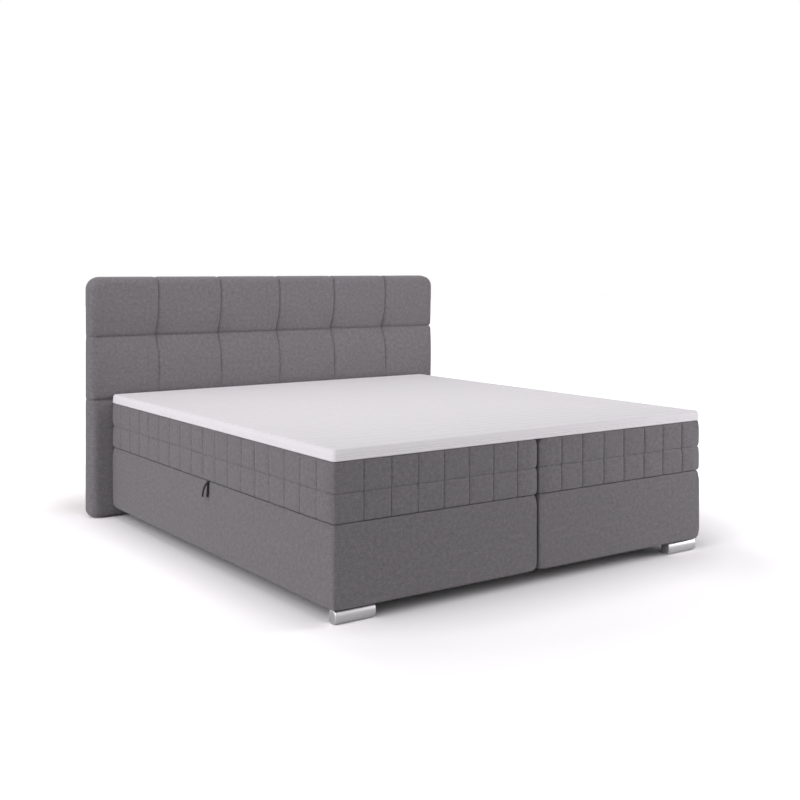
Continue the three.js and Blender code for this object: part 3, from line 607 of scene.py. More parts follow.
def wrapped_box(half, side):
    """A box's cloth cover: a ring of a wall that bulges a little, rolls in at its top and
    bottom edges, is drawn in at the ends of its upright corners, and has a straight inside."""
    low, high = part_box("box_cover_left")
    high.z -= cloth_gap
    path = wrapped_outline(
        low, high, box_corner_radius, [()] * 4, plain_offsets, box_corner_lines, box_side_lines,
    )
    quarter = np.linspace(0, np.pi / 2, roll_steps)
    floor_in, floor_rise = roll_rows(box_floor_roll, quarter[::-1])
    top_in, top_rise = roll_rows(box_top_roll, quarter)
    wall = np.linspace(low.z + box_floor_roll, high.z - box_top_roll, box_wall_lines)[1:-1]
    height = np.concatenate([
        low.z + box_floor_roll - floor_rise, wall, high.z - box_top_roll + top_rise,
    ])[:, None]
    inset = np.concatenate([floor_in, wall * 0, top_in])[:, None]
    ends = np.minimum(height - low.z, high.z - height)
    near_corner = bell(path["corner"], box_corner_width)
    inset = inset + box_corner_pull * fade(ends, box_corner_reach) * near_corner
    outer = ring_places(path, inset, height)
    loose = np.clip(ends / box_corner_reach, 0, 1)
    wave = ripple(outer * (side, 1, 1), box_slack_length, seed=11) * box_slack * loose
    outer[..., :2] += path["normal"] * wave[..., None]
    inner = square_places(path, low, high, box_padding, (high.z, low.z))
    rows = np.concatenate([outer, inner])
    points, chart = loop_of_rows(len(rows), len(path["at"]), close_rows=True)
    cloth = cloth_map(path["run"], run_along(rows[:, 0], closed=True), chart)
    cover = add_piece(
        f"box_upholstery_{half}", rows.reshape(-1, 3), [points], grey_cloth, "root",
        [f"box_cover_{half}"], [cloth], side=side,
    )


for half, side in halves.items():
    wrapped_box(half, side)


# Feet
# Satin chrome bars of a nearly oval section lie under the outer foot corners.
# Black plastic glides carry the outer head corners, and black blocks bridge the two boxes.
def hard_finish(name, colour, stretch, roughness, detail, metallic=0.0, relief=0.0, strength=0.0):
    """A metal or a plastic with a fine grain, or with streaks where the stretch is uneven.
    Its roughness follows the grain from low to high, and its relief stands in the normal."""
    material, tree = new_material(name)
    grain = noise(tree, object_place(tree, stretch), detail=detail)
    rough = from_range(tree, grain, *roughness)
    shade(tree, {"Base Color": colour, "Metallic": metallic, "Roughness": rough})
    if relief:
        shade(tree, {"Normal": bump(tree, grain, relief, strength)})
    return material


satin_chrome = hard_finish(
    "satin chrome", (0.62, 0.615, 0.625, 1), stretch=(60, 900, 900), roughness=(0.38, 0.52),
    detail=3.0, metallic=1.0, relief=5e-5, strength=0.3,
)
black_plastic = hard_finish(
    "black plastic", (0.018, 0.018, 0.02, 1), stretch=(900, 900, 900), roughness=(0.47, 0.65),
    detail=3.0, relief=1e-4, strength=0.4,
)
refinish(black_plastic, "glider_left", "glider_right", "bridge_foot_foot", "bridge_foot_head")

foot_edge = 0.005
foot_power = 2.7
foot_turns = 96


def rounded_foot(half):
    """A bar along X whose section is a superellipse: |y|^p + |z|^p = 1 in its half depth and
    half height. Near either end the section draws in by a quarter round."""
    low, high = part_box(f"chrome_foot_{half}")
    middle = np.array([(low.y + high.y) / 2, (low.z + high.z) / 2])
    reach = np.array([(high.y - low.y) / 2, (high.z - low.z) / 2])
    ring = superellipse(foot_turns, foot_power)
    quarter = np.linspace(0, np.pi / 2, roll_steps)
    draw, step = roll_rows(foot_edge, quarter)
    along = np.concatenate([low.x + foot_edge - step[::-1], high.x - foot_edge + step])
    shrink = np.concatenate([draw[::-1], draw])
    section = middle + ring[None] * (reach[None] - shrink[:, None])[:, None]
    rows = np.concatenate([np.tile(along[:, None, None], (1, foot_turns, 1)), section], -1)
    places, faces, _ = capped_rows(rows)
    add_piece(
        f"chrome_bar_foot_{half}", places, faces, satin_chrome, "root",
        [f"chrome_foot_{half}"], sharp=40,
    )


for half in halves:
    rounded_foot(half)


# Centre fittings
# Pivot posts are clamped between the boxes, and each lid's hinge leaves turn on their pins.
# Brackets carry the gas struts. All are zinc plated steel.
zinc_steel = hard_finish(
    "zinc plated steel", (0.56, 0.57, 0.58, 1), stretch=(120, 120, 120), roughness=(0.28, 0.5),
    detail=4.0, metallic=1.0,
)
ends = ("foot", "head")
for end in ends:
    refinish(zinc_steel, f"pivot_post_{end}")
    for half in halves:
        fittings = ("hinge_leaf", "strut_foot_bracket", "strut_lid_bracket")
        refinish(zinc_steel, *(f"{fitting}_{end}_{half}" for fitting in fittings))

# Lids
# Each lid is a softwood frame with slats on a hardboard underside. It carries a core of
# pocket springs and a foam pad, under a grey cover with two sewn rows of tufts.
pine, pine_tree = new_material("planed softwood")
pine_place = object_place(pine_tree, (3, 40, 40))
pine_sockets = {"Vector": pine_place, "Scale": 1.4, "Distortion": 3.0, "Detail": 3.0}
pine_rings = add_node(pine_tree, "TexWave", pine_sockets, wave_type="RINGS", rings_direction="X")
pine_shades = ((0, (0.66, 0.47, 0.25, 1)), (1, (0.47, 0.29, 0.12, 1)))
shade(pine_tree, {"Base Color": ramp(pine_tree, pine_rings["Fac"], *pine_shades), "Roughness": 0.6})

hardboard, board_tree = new_material("smooth hardboard")
board_place = object_place(board_tree)
board_fibre = noise(board_tree, board_place, scale=140.0, detail=8.0, roughness=0.7)
board_shades = ((0.3, (0.115, 0.062, 0.032, 1)), (0.75, (0.27, 0.16, 0.085, 1)))
shade(board_tree, {"Base Color": ramp(board_tree, board_fibre, *board_shades), "Roughness": 0.45})

for half in halves:
    refinish(pine, f"lid_frame_{half}")
    refinish(hardboard, f"lid_underside_{half}")


pore_places = (0.35, 0.65)


def soft_filling(name, dark, light, grain, depth):
    """A felt or foam: fine pores or fibres in its colour and its normal."""
    material, tree = new_material(name)
    pores = noise(tree, object_place(tree), grain, detail=5.0)
    shade(tree, {
        "Base Color": ramp(tree, pores, *zip(pore_places, (dark, light))),
        "Normal": bump(tree, pores, depth, strength=0.6), "Roughness": 0.95,
    })
    return material


spring_felt = soft_filling(
    "pocket felt", (0.6, 0.6, 0.58, 1), (0.76, 0.76, 0.74, 1), grain=700.0, depth=0.0003,
)
pad_foam = soft_filling(
    "open cell foam", (0.7, 0.63, 0.4, 1), (0.84, 0.79, 0.58, 1), grain=1500.0, depth=0.0004,
)
pockets_across = 8
pockets_along = 18
pocket_turns = 12
pocket_rows = 6
pocket_squeeze = 0.10
pocket_gap = 0.0004


def pocket_springs(half):
    """Rows of sewn felt pockets. A pocket's radius is largest at its middle height and
    shrinks by the squeeze towards both ends, as the cosine of its height from the middle."""
    low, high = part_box(f"spring_core_{half}")
    pitch = np.array((high.x - low.x, high.y - low.y)) / (pockets_across, pockets_along)
    turn = full_turn(pocket_turns)
    rise = np.linspace(0, 1, pocket_rows)
    shrink = 1 - pocket_squeeze * (1 - np.sin(np.pi * rise))
    reach = pitch / 2 - pocket_gap
    ring = np.stack([reach[0] * np.cos(turn), reach[1] * np.sin(turn)], -1)
    rows = np.zeros((pocket_rows, pocket_turns, 3))
    rows[..., :2] = ring[None] * shrink[:, None, None]
    rows[..., 2] = low.z + rise[:, None] * (high.z - low.z)
    pocket, pocket_faces, _ = capped_rows(rows)
    column, row = np.meshgrid(np.arange(pockets_across), np.arange(pockets_along))
    shift = np.zeros((column.size, 3))
    shift[:, :2] = low[:2] + pitch * (np.stack([column.ravel(), row.ravel()], -1) + 0.5)
    places = (shift[:, None] + pocket[None]).reshape(-1, 3)
    first = np.arange(len(shift))[:, None, None] * len(pocket)
    faces = [(part + first).reshape(-1, part.shape[1]) for part in pocket_faces]
    core = add_piece(
        f"pocket_springs_{half}", places, faces, spring_felt, f"lid_{half}",
        [f"spring_core_{half}"], sharp=50,
    )


def edged_lines(start, end, edges, lines, gap):
    """Places of grid lines from start to end: the given ones and some near both edges."""
    return thinned(np.unique(np.concatenate([start + edges, lines, end - edges])), gap)


same_place = 1e-9


def slab_grid(
    a_lines, b_lines, corner, roll, skirt, open_end=False, low_corner=None, square_rows=0,
):
    """A padded slab on a grid of lines: a front face, a rounded edge and a skirt behind it.

    The slab lies in its own axes a, b and h, with its front towards +h at h 0. Inside the
    corner radius, a square corner maps onto a round one: a point keeps its larger distance
    from the corner's centre as its radius. Near the edge the front falls away as a quarter
    round of the roll. The skirt's rows are pairs of inset and depth. With an open end, the
    far end in a is a plain cut. The two corners at the start of b can have a radius of
    their own. The last square rows of the skirt have square corners. Gives the points,
    outward normals, edge distances, corner numbers, cloth places, each point's share of the
    depth behind the front, and whether it belongs to the skirt.
    """
    a0, a1, b0, b1 = a_lines[0], a_lines[-1], b_lines[0], b_lines[-1]
    a, b = np.meshgrid(a_lines, b_lines)
    corner = np.where(b < (b0 + b1) / 2, low_corner or corner, corner)
    centre_a = np.clip(a, a0 + corner, a1 if open_end else a1 - corner)
    centre_b = np.clip(b, b0 + corner, b1 - corner)
    off = np.stack([a - centre_a, b - centre_b], -1)
    largest = np.abs(off).max(-1)
    length = np.linalg.norm(off, axis=-1)
    outward = off / np.maximum(length, same_place)[..., None]
    at = np.stack([centre_a, centre_b], -1) + outward * largest[..., None]
    edge = corner - largest
    slope = np.clip(1 - edge / roll, 0, 1)
    upright = np.sqrt(1 - slope**2)
    height = roll * (upright - 1)
    places = np.concatenate([at, height[..., None]], -1)
    normals = np.concatenate([outward * slope[..., None], upright[..., None]], -1)

    rows, columns = a.shape
    number = np.arange(rows * columns).reshape(rows, columns)
    front = np.stack([number[:-1, :-1], number[:-1, 1:], number[1:, 1:], number[1:, :-1]], -1)
    front = front.reshape(-1, 4)
    loop = np.concatenate([number[0, :-1], number[:-1, -1], number[-1, :0:-1], number[:0:-1, 0]])
    places, normals = places.reshape(-1, 3), normals.reshape(-1, 3)
    loop_normal = normals[loop] * (1, 1, 0)
    if open_end:
        is_cut = np.abs(places[loop, 0] - a1) < same_place
        middle, half_length = (b0 + b1) / 2, (b1 - b0) / 2
        loop_normal[is_cut] = 0
        loop_normal[is_cut, 1] = (places[loop, 1][is_cut] - middle) / half_length
    ring = places[loop]
    skirt = np.asarray(skirt)
    inset = np.tile(skirt[:, :1], len(loop))
    if square_rows:
        round_part = corner.ravel()[loop] - inset[-square_rows:]
        inset[-square_rows:] += round_part * (1 - 1 / np.abs(loop_normal).max(-1))
    rings = ring[None] - loop_normal[None] * inset[..., None]
    rings[..., 2] = -skirt[:, 1, None]
    count = len(loop)
    start = len(places)
    chain = np.concatenate([loop[None], start + np.arange(len(skirt) * count).reshape(-1, count)])
    following = np.roll(chain, -1, axis=1)
    side = np.stack([chain[:-1], chain[1:], following[1:], following[:-1]], -1).reshape(-1, 4)
    pole = start + len(skirt) * count
    cap = fan(chain[-1], pole)[:, ::-1]
    run = np.concatenate([[0], np.hypot(*np.diff(np.vstack([(0, roll), skirt]), axis=0).T)])
    run = np.cumsum(run)
    spread = ring[None, :, :2] + loop_normal[None, :, :2] * run[:, None, None]
    cloth = np.concatenate([
        places[:, :2], spread[1:].reshape(-1, 2), [((a0 + a1) / 2, (b0 + b1) / 2)],
    ])
    pole_place = np.array([[(a0 + a1) / 2, (b0 + b1) / 2, -skirt[-1, 1]]])
    behind = np.concatenate([
        np.zeros(len(places)), np.repeat(skirt[:, 1] / skirt[:, 1].max(), count), [1.0],
    ])
    is_skirt = np.concatenate([np.zeros(len(places), bool), np.ones(len(skirt) * count + 1, bool)])
    places = np.concatenate([places, rings.reshape(-1, 3), pole_place])
    normals = np.concatenate([normals, np.tile(loop_normal, (len(skirt), 1)), [(0, 0, -1.0)]])
    edge = np.concatenate([edge.ravel(), np.zeros(len(skirt) * count + 1)])
    faces = [front, side, cap]
    return {
        "places": places, "normals": normals, "edge": edge, "faces": faces, "behind": behind,
        "skirt": is_skirt, "cloth": [cloth[part] for part in faces],
    }


foam_corner = 0.012
foam_roll = 0.006
foam_unevenness = 0.001
foam_wave_length = 0.3
foam_level_edge = 0.02
foam_lines = (24, 48)
foam_offsets = np.array([0, 0.001, 0.0025, 0.0045, 0.007, 0.012, 0.03, 0.08])


def foam_pad(half):
    """A slab of foam with softened edges and a slightly uneven top."""
    low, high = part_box(f"foam_pad_{half}")
    depth = high.z - low.z
    a_lines, b_lines = (
        edged_lines(start, end, foam_offsets, np.linspace(start, end, count)[2:-2], 0)
        for start, end, count in zip(low[:2], high[:2], foam_lines)
    )
    skirt = [(0, depth - foam_roll / 2), (foam_roll / 2, depth)]
    slab = slab_grid(a_lines, b_lines, foam_corner, foam_roll, skirt)
    places = slab["places"] + (0, 0, high.z)
    level = np.clip(slab["edge"] / foam_level_edge, 0, 1) * ~slab["skirt"]
    places[:, 2] -= foam_unevenness * (1 + ripple(places, foam_wave_length, seed=5)) * level
    pad = add_piece(
        f"foam_layer_{half}", places, slab["faces"], pad_foam, f"lid_{half}",
        [f"foam_pad_{half}"], slab["cloth"],
    )


long_side_tufts = 18
foot_seams = {
    "left": (0.1218, 0.2347, 0.3460, 0.4587, 0.5717, 0.6841, 0.7968),
    "right": (0.1104, 0.2237, 0.3333, 0.4479, 0.5608, 0.6732, 0.7839),
}
lid_corner_radius = 0.008
lid_padding = 0.014
lid_skin = 0.004
lid_lower_tuft = 0.100
lid_floor_roll = 0.007
lid_top_roll = 0.007
lid_hinge_roll = 0.020
lid_hinge_ease = 0.15
lid_roll_start = 0.022
seam_depth = 0.0030
long_side_depth_share = 0.8
seam_width = 0.0046
seam_hollow = 0.0016
seam_hollow_width = 0.014
row_seam_depth = 0.0024
row_seam_width = 0.0048
row_hollow = 0.0013
row_hollow_width = 0.012
crossing_gain = 1.5
crossing_width = 0.014
seam_sway = 0.0016
edge_stitch_drop = 0.014
edge_stitch_depth = 0.0009
edge_stitch_width = 0.003
tuft_crown = 0.0020
tuft_tilt = 0.0012
tuft_wave = 0.0006
lid_corner_pull = 0.0045
lid_corner_width = 0.020
lid_corner_power = 5
tuft_offsets = np.array([
    0, 0.0007, 0.0016, 0.0028, 0.0042, 0.0056, 0.0085, 0.0125, 0.018, 0.026, 0.038,
])
lid_floor_lines = np.array([0.006, 0.009, 0.013, 0.018, 0.027])
lid_stitch_lines = np.array([-2, -1, -0.5, 0, 0.5])
lid_top_line = 0.03
lid_draws = {"left": 21, "right": 34}
tuft_spread = 0.25
tuft_twist = 0.5
tuft_wave_length = 0.09
seam_sway_reach = 0.03
seam_sway_at_ends = 0.4


def tufted_lid(half, side):
    """A lid's cloth cover, closed above and open below.

    A point of the wall is drawn in by the seams near it: each seam is a narrow parabola in
    a wider hollow, the two directions add as a root of squares, and a crossing is deeper
    by its gain. Each tuft is crowned as (1 - s^4)(1 - t^4) with its own small tilt. The
    upright corners are drawn in towards both ends of either row, and each upright seam
    sways a little along the wall, by its own amount in either row. On the hinge side, the
    top stays behind a quarter round, x <= high.x - r (1 - sqrt(1 - over^2)), less a small
    share of its distance, so that the two lids clear each other as one lifts.
    """
    low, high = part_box("lid_cover_left")
    low.z += cloth_gap
    long_side = (high.y - low.y) * np.arange(1, long_side_tufts) / long_side_tufts
    seams = (np.array(foot_seams[half]), (), (), long_side)
    path = wrapped_outline(low, high, lid_corner_radius, seams, tuft_offsets)
    lid_mid_seam = low.z - cloth_gap + lid_lower_tuft
    count = len(path["at"])
    quarter = np.linspace(0, np.pi / 2, roll_steps)
    wall = crease_lines(
        low.z + lid_floor_roll, high.z - lid_roll_start, [lid_mid_seam], tuft_offsets,
    )
    stitch = high.z - edge_stitch_drop
    extra = np.concatenate([
        low.z + lid_floor_lines, stitch + edge_stitch_width * lid_stitch_lines,
        [high.z - lid_top_line],
    ])
    wall = np.unique(np.concatenate([wall, extra]))
    floor_in, floor_rise = roll_rows(lid_floor_roll, quarter[::-1])
    to_hinge = np.clip(path["normal"][:, 0], 0, 1)
    top_roll = lid_top_roll + (lid_hinge_roll - lid_top_roll) * to_hinge
    top_in = top_roll * (1 - np.cos(quarter))[:, None]
    top_height = high.z - top_roll + top_roll * np.sin(quarter)[:, None]
    height = np.concatenate([
        np.tile((low.z + lid_floor_roll - floor_rise)[:, None], count),
        np.tile(wall[1:, None], count), top_height,
    ])
    inset = np.concatenate([
        np.tile(floor_in[:, None], count), np.zeros((len(wall) - 1, count)), top_in,
    ])
    flatness = np.concatenate([
        np.cos(quarter[::-1]) * 0.5 + 0.5, np.ones(len(wall) - 1), np.cos(quarter),
    ])[:, None]

    from_mid = np.abs(height - lid_mid_seam)
    from_floor = height - low.z
    crossing = fade(np.minimum(from_mid, from_floor), crossing_width)
    gain = 1 + crossing_gain * crossing
    upright_seam = seam_depth * fade(path["seam"], seam_width) * gain
    upright_seam = upright_seam + seam_hollow * fade(path["seam"], seam_hollow_width)
    upright_seam *= np.where(np.abs(path["normal"][:, 0]) > 0.5, long_side_depth_share, 1.0)
    row_seam = row_seam_depth * fade(from_mid, row_seam_width)
    row_seam += row_hollow * fade(from_mid, row_hollow_width)
    creases = np.hypot(upright_seam, row_seam * path["full"])
    creases += edge_stitch_depth * fade(np.abs(height - stitch), edge_stitch_width) * path["full"]

    is_upper = height > lid_mid_seam
    row_share = np.where(
        is_upper,
        (height - lid_mid_seam) / (high.z - lid_mid_seam),
        (height - low.z) / (lid_mid_seam - low.z),
    )
    across, up = 2 * path["share"] - 1, 2 * row_share - 1
    crown = (1 - across**4) * (1 - up**4)
    draw = np.random.default_rng(lid_draws[half])
    tilts = draw.normal(size=(4, 2, 4 * tuft_numbers))
    tuft, row = path["tuft"], is_upper.astype(int)
    own = tilts[:, row, np.broadcast_to(tuft, row.shape)]
    tilt = own[0] * across + own[1] * up + tuft_twist * own[2] * across * up
    swell = tuft_crown * crown * (1 + tuft_spread * own[3]) + tuft_tilt * tilt * crown
    swell = swell * path["full"] * (tuft >= 0)

    near_corner = bell(path["corner"], lid_corner_width) * path["full"]
    pull = lid_corner_pull * np.abs(up) ** lid_corner_power * near_corner
    inset = inset + (creases - swell + pull) * flatness
    outer = ring_places(path, inset, height)
    near_seam = bell(path["seam"], seam_sway_reach) * (tuft >= 0)
    seam_number = tuft + (path["share"] > 0.5)
    sways = draw.normal(size=(2, 4 * tuft_numbers))
    sways = sways[row, np.broadcast_to(seam_number, row.shape)]
    bow = np.sin(np.pi * np.clip(row_share, 0, 1))
    bow = seam_sway_at_ends + (1 - seam_sway_at_ends) * bow
    sway = seam_sway * sways * bow * near_seam
    tangent = np.stack([-path["normal"][:, 1], path["normal"][:, 0]], -1)
    outer[..., :2] += tangent * sway[..., None]
    wave = tuft_wave * ripple(outer * (side, 1, 1), tuft_wave_length, seed=3) * flatness
    wave *= 1 - to_hinge
    outer[..., :2] += path["normal"] * wave[..., None]
    over = np.clip((outer[..., 2] - high.z) / lid_hinge_roll + 1, 0, 1)
    limit = high.x - lid_hinge_roll * (1 - np.sqrt(1 - over**2))
    outer[..., 0] = np.minimum(outer[..., 0], limit - lid_hinge_ease * (high.x - outer[..., 0]))

    inner = square_places(path, low, high, lid_padding, (high.z - lid_skin, low.z))
    rows = np.concatenate([inner, outer])
    middle = ((low.x + high.x) / 2, (low.y + high.y) / 2)
    poles = np.array([(*middle, high.z - lid_skin), (*middle, high.z)])
    places, faces, chart = capped_rows(rows, poles)
    wall_cloth = cloth_map(path["run"], run_along(rows[:, count // 3]), chart)
    cloth = [wall_cloth, *(places[part][..., :2] for part in faces[1:])]
    cover = add_piece(
        f"tufted_lid_cover_{half}", places, faces, grey_cloth, f"lid_{half}",
        [f"lid_cover_{half}"], cloth, side=side,
    )


for half, side in halves.items():
    pocket_springs(half)
    foam_pad(half)
    tufted_lid(half, side)


# Pull straps
# A strap of black webbing, doubled and sewn into the seam at the middle of each long side.
# Its two ends hang over the box and stand a little apart. The inner end hangs close to the box
# and also stands in for the outer end's shadow on it, as a painted shadow.
webbing_shades = ((0.008, 0.008, 0.009, 1), (0.014, 0.014, 0.016, 1), (0.026, 0.026, 0.028, 1))
webbing = woven_cloth(
    "black webbing", webbing_shades, pitch=0.0012, depth=0.0003, roughness=0.8, sheen=0.1,
)
strap_width = 0.016
strap_ply = 0.0016
strap_steps = 40
strap_section = 20
strap_power = 6
strap_smoothings = 10
strap_cloth_steps = (0.0025, 0.0018)
# Each ply's route: how far inside the lid's face, less than 0 outside, and above its seam
strap_outer_ply = (
    (0.004, 0.0012), (-0.003, -0.001), (-0.011, -0.010), (-0.019, -0.024), (-0.0245, -0.042),
    (-0.0262, -0.0585),
)
# The inner ply also serves as a painted shadow of the outer ply on the box
strap_inner_ply_and_shadow = (
    (0.004, -0.0006), (0.0005, -0.001), (-0.0022, -0.008), (-0.0030, -0.024), (-0.0042, -0.044),
    (-0.0060, -0.062),
)


def ribbon_along(points, width, thickness, across):
    """Rings of points of a flat band along a smoothed curve. Each is a superellipse of the
    width and the thickness, stood on the curve's normal."""
    span = np.linspace(0, 1, len(points))
    fine = np.linspace(0, 1, strap_steps)
    spline = np.stack([np.interp(fine, span, column) for column in np.array(points).T], -1)
    for _ in range(strap_smoothings):
        spline[1:-1] = (spline[:-2] + 2 * spline[1:-1] + spline[2:]) / 4
    run = np.gradient(spline, axis=0)
    run /= np.linalg.norm(run, axis=1)[:, None]
    normal = np.cross(run, across)
    wide, thick = superellipse(strap_section, strap_power).T[..., None] / 2
    section = np.array(across) * width * wide + normal[:, None] * thickness * thick
    return spline[:, None] + section


def pull_strap(half, side):
    """Two plies of one webbing strap: the outer one swings out, the inner one hangs close,
    where it also serves as a painted shadow of the outer one on the box.
    """
    low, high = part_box("pull_strap_left")
    middle = (low.y + high.y) / 2
    lid_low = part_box("lid_cover_left")[0]
    places, faces, cloth, start = [], [], [], 0
    for ply in (strap_outer_ply, strap_inner_ply_and_shadow):
        route = [(lid_low.x + x, middle, lid_low.z + z) for x, z in ply]
        rows = ribbon_along(route, strap_width, strap_ply, (0.0, 1.0, 0.0))
        body, parts, chart = capped_rows(rows)
        around = np.arange(strap_section + 1) * strap_cloth_steps[0]
        drop = np.arange(len(rows)) * strap_cloth_steps[1]
        places.append(body)
        faces += [part + start for part in parts]
        cloth += [cloth_map(around, drop, chart), *(body[part][..., 1:] for part in parts[1:])]
        start += len(body)
    add_piece(
        f"webbing_strap_{half}", np.concatenate(places), faces, webbing, f"lid_{half}",
        [f"pull_strap_{half}"], cloth, sharp=50, side=side,
    )


for half, side in halves.items():
    pull_strap(half, side)


# Gas struts
# A black cylinder on a stud of the box, and a ground steel rod that reaches a bracket on
# the lid, at the foot end and the head end of either half.
black_paint = hard_finish(
    "satin black paint", (0.02, 0.02, 0.022, 1), stretch=(400, 400, 400), roughness=(0.27, 0.45),
    detail=3.0, relief=1e-4, strength=0.4,
)
rod_steel = hard_finish(
    "ground rod steel", (0.68, 0.68, 0.7, 1), stretch=(200, 200, 200), roughness=(0.12, 0.22),
    detail=4.0, metallic=1.0,
)
for half in halves:
    for end in ends:
        refinish(black_paint, f"strut_cylinder_{end}_{half}")
        refinish(rod_steel, f"strut_rod_{end}_{half}")


# Headboard
# A padded case over a board, bolted to the boxes' head panels. Its face is sewn into six
# columns of deep pillows in two rows, above a plain lower panel.
refinish(chipboard, "headboard_board")
refinish(zinc_steel, "headboard_bolt_left", "headboard_bolt_right")

head_seams = np.array([-0.6590, -0.3258, 0.0093, 0.3415, 0.6733])
head_upper_drop = 0.282
head_lower_drop = 0.580
head_corner = 0.055
head_low_corner = 0.034
head_top_drop = 0.0025
head_roll = 0.034
head_face_set_back = 0.0015
head_column_depth = 0.002
head_crossing_depth = 0.027
head_crossing_reach = 0.064
head_low_crossing_share = 0.2
head_low_crease_loss = 0.45
head_low_crease_reach = 0.07
head_wrap_crease_share = 0.7
head_wrap_hollow_share = 0.2
head_row_depth = 0.012
head_row_lean = 0.016
head_row_lean_above = 0.275
head_row_lean_below = 0.13
head_column_lean = 0.003
head_column_lean_width = 0.16
head_top_lean = 0.020
head_top_lean_reach = 0.10
head_top_lean_width = 0.075
head_row_edge_facing = 0.55
head_row_edge_carry = 0.12
head_crease_depth = 0.0095
head_crease_width = 0.015
head_hollow_width = 0.155
head_side_bulge = 0.005
head_wave = 0.0011
head_wave_length = 0.16
head_fine_wave = 0.0006
head_fine_wave_length = 0.05
head_wave_edge_share = 0.35
head_column_end = 0.012
head_low_hollow_reach = 0.06
head_wrap_end = 0.2
head_back_share = 0.98
head_back_hem = ((0.0015, 0.0025), (0.005, 0))
head_line_gap = 6e-4
head_low_lines = (0.1, 0.45, 12)
head_skirt_shares = (0.12, 0.3, 0.5, 0.7, 0.88)
head_offsets = np.array([
    0, 0.0012, 0.003, 0.006, 0.010, 0.015, 0.022, 0.031, 0.043, 0.060, 0.082, 0.110, 0.140,
])
head_edges = np.array([
    0, 0.0015, 0.004, 0.0075, 0.012, 0.017, 0.023, 0.030, 0.038, 0.045, 0.055, 0.07,
])


def sunk(distance, depth, carry):
    """How far a sewn seam draws the pad in at a distance: a narrow crease in a hollow.
    carry is the share of the hollow that is left at a point."""
    hollow = depth * fade(distance, head_hollow_width) * carry
    return head_crease_depth * fade(distance, head_crease_width) + hollow


def padded_headboard():
    """The headboard's tufted pad, on a slab grid stood upright.

    Seams are deepest where they cross at the upper row seam. From there the depth falls as
    a bell curve of the distance, to the column depth along an upright seam and to the row
    depth along a row seam. Both join as the cube root of the sum of their cubes. Creases
    run on over the top and round the sides, with little of their hollows, and end before
    the back edge. Beside its seams each pillow leans back, by an amount that falls to 0 over
    the lean's reach or width. Below the lower seam the panel is plain.
    """
    low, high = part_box("headboard_pad")
    board_low, board_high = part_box("headboard_board")
    a_lines = crease_lines(low.x, high.x, head_seams, head_offsets)
    a_lines = edged_lines(low.x, high.x, head_edges, a_lines, head_line_gap)
    lower_seam, upper_seam = high.z - head_lower_drop, high.z - head_upper_drop
    high.z -= head_top_drop
    rows = (lower_seam, upper_seam)
    b_lines = crease_lines(low.z, high.z, rows, head_offsets)
    b_lines = np.concatenate([b_lines, np.linspace(*head_low_lines)])
    b_lines = edged_lines(low.z, high.z, head_edges, b_lines, head_line_gap)
    front, back = low.y + head_face_set_back, high.y
    depth = back - front
    pocket = board_low.x - low.x
    pocket_depth = board_high.y - board_low.y
    skirt = [
        (-head_side_bulge * np.sin(np.pi * share), head_roll + (depth - head_roll) * share)
        for share in head_skirt_shares
    ]
    skirt += [(inset, depth - rise) for inset, rise in head_back_hem]
    skirt += [(pocket, depth), (pocket, depth - pocket_depth)]
    slab = slab_grid(
        a_lines, b_lines, head_corner, head_roll, skirt,
        low_corner=head_low_corner, square_rows=2,
    )
    a, b = slab["places"].T[:2]
    from_column = np.abs(a[:, None] - head_seams).min(1)
    from_row = np.abs(b[:, None] - np.array(rows)).min(1)
    is_tufted = np.clip((b - lower_seam) / head_column_end + 1, 0, 1)
    is_low = b < (lower_seam + upper_seam) / 2
    crossing_share = np.where(is_low, head_low_crossing_share, 1.0)
    near_row = crossing_share * bell(from_row, head_crossing_reach)
    near_column = crossing_share * bell(from_column, head_crossing_reach)
    carry = np.where(slab["skirt"], head_wrap_hollow_share, 1.0)
    facing = np.clip(slab["normals"][:, 2], 0, 1)
    turned = (facing - head_row_edge_facing) / (1 - head_row_edge_facing)
    row_carry = np.maximum(carry * np.clip(turned, 0, 1), head_row_edge_carry)
    column_depth = head_column_depth + (head_crossing_depth - head_column_depth) * near_row
    column_sink = sunk(from_column, column_depth, carry) * is_tufted
    near_low = bell(b - lower_seam, head_low_crease_reach)
    column_sink *= 1 - head_low_crease_loss * near_low
    row_depth = head_row_depth + (head_crossing_depth - head_row_depth) * near_column
    row_sink = sunk(from_row, row_depth, row_carry)
    row_sink *= np.clip(1 - (lower_seam - b) / head_low_hollow_reach, 0, 1)
    sink = np.cbrt(column_sink**3 + row_sink**3)
    swell = head_wave * (ripple(slab["places"], head_wave_length, seed=8) - 1)
    swell += head_fine_wave * ripple(slab["places"], head_fine_wave_length, seed=9)
    wrapped = head_wrap_crease_share * np.clip((1 - slab["behind"]) / head_wrap_end, 0, 1)
    keep = np.where(slab["skirt"], wrapped, 1.0) * (slab["behind"] <= head_back_share)
    soft_edge = np.clip(slab["edge"] / head_roll, head_wave_edge_share, 1)
    shift = (swell * soft_edge - sink) * keep
    places = slab["places"] + slab["normals"] * shift[:, None]
    reach = np.where(b > upper_seam, head_row_lean_above, head_row_lean_below)
    lean = head_row_lean * fade(np.abs(b - upper_seam), reach)
    lean += head_column_lean * fade(from_column, head_column_lean_width) * is_tufted
    near_top = fade(high.z - b, head_top_lean_reach)
    lean += head_top_lean * near_top * fade(from_column, head_top_lean_width)
    places[:, 2] -= lean * facing**2
    places = np.stack([
        places[:, 0], front - places[:, 2], np.maximum(places[:, 1], low.z),
    ], -1)
    pad = add_piece(
        "tufted_headboard", places, slab["faces"], grey_cloth, "root",
        ["headboard_pad"], slab["cloth"],
    )


padded_headboard()
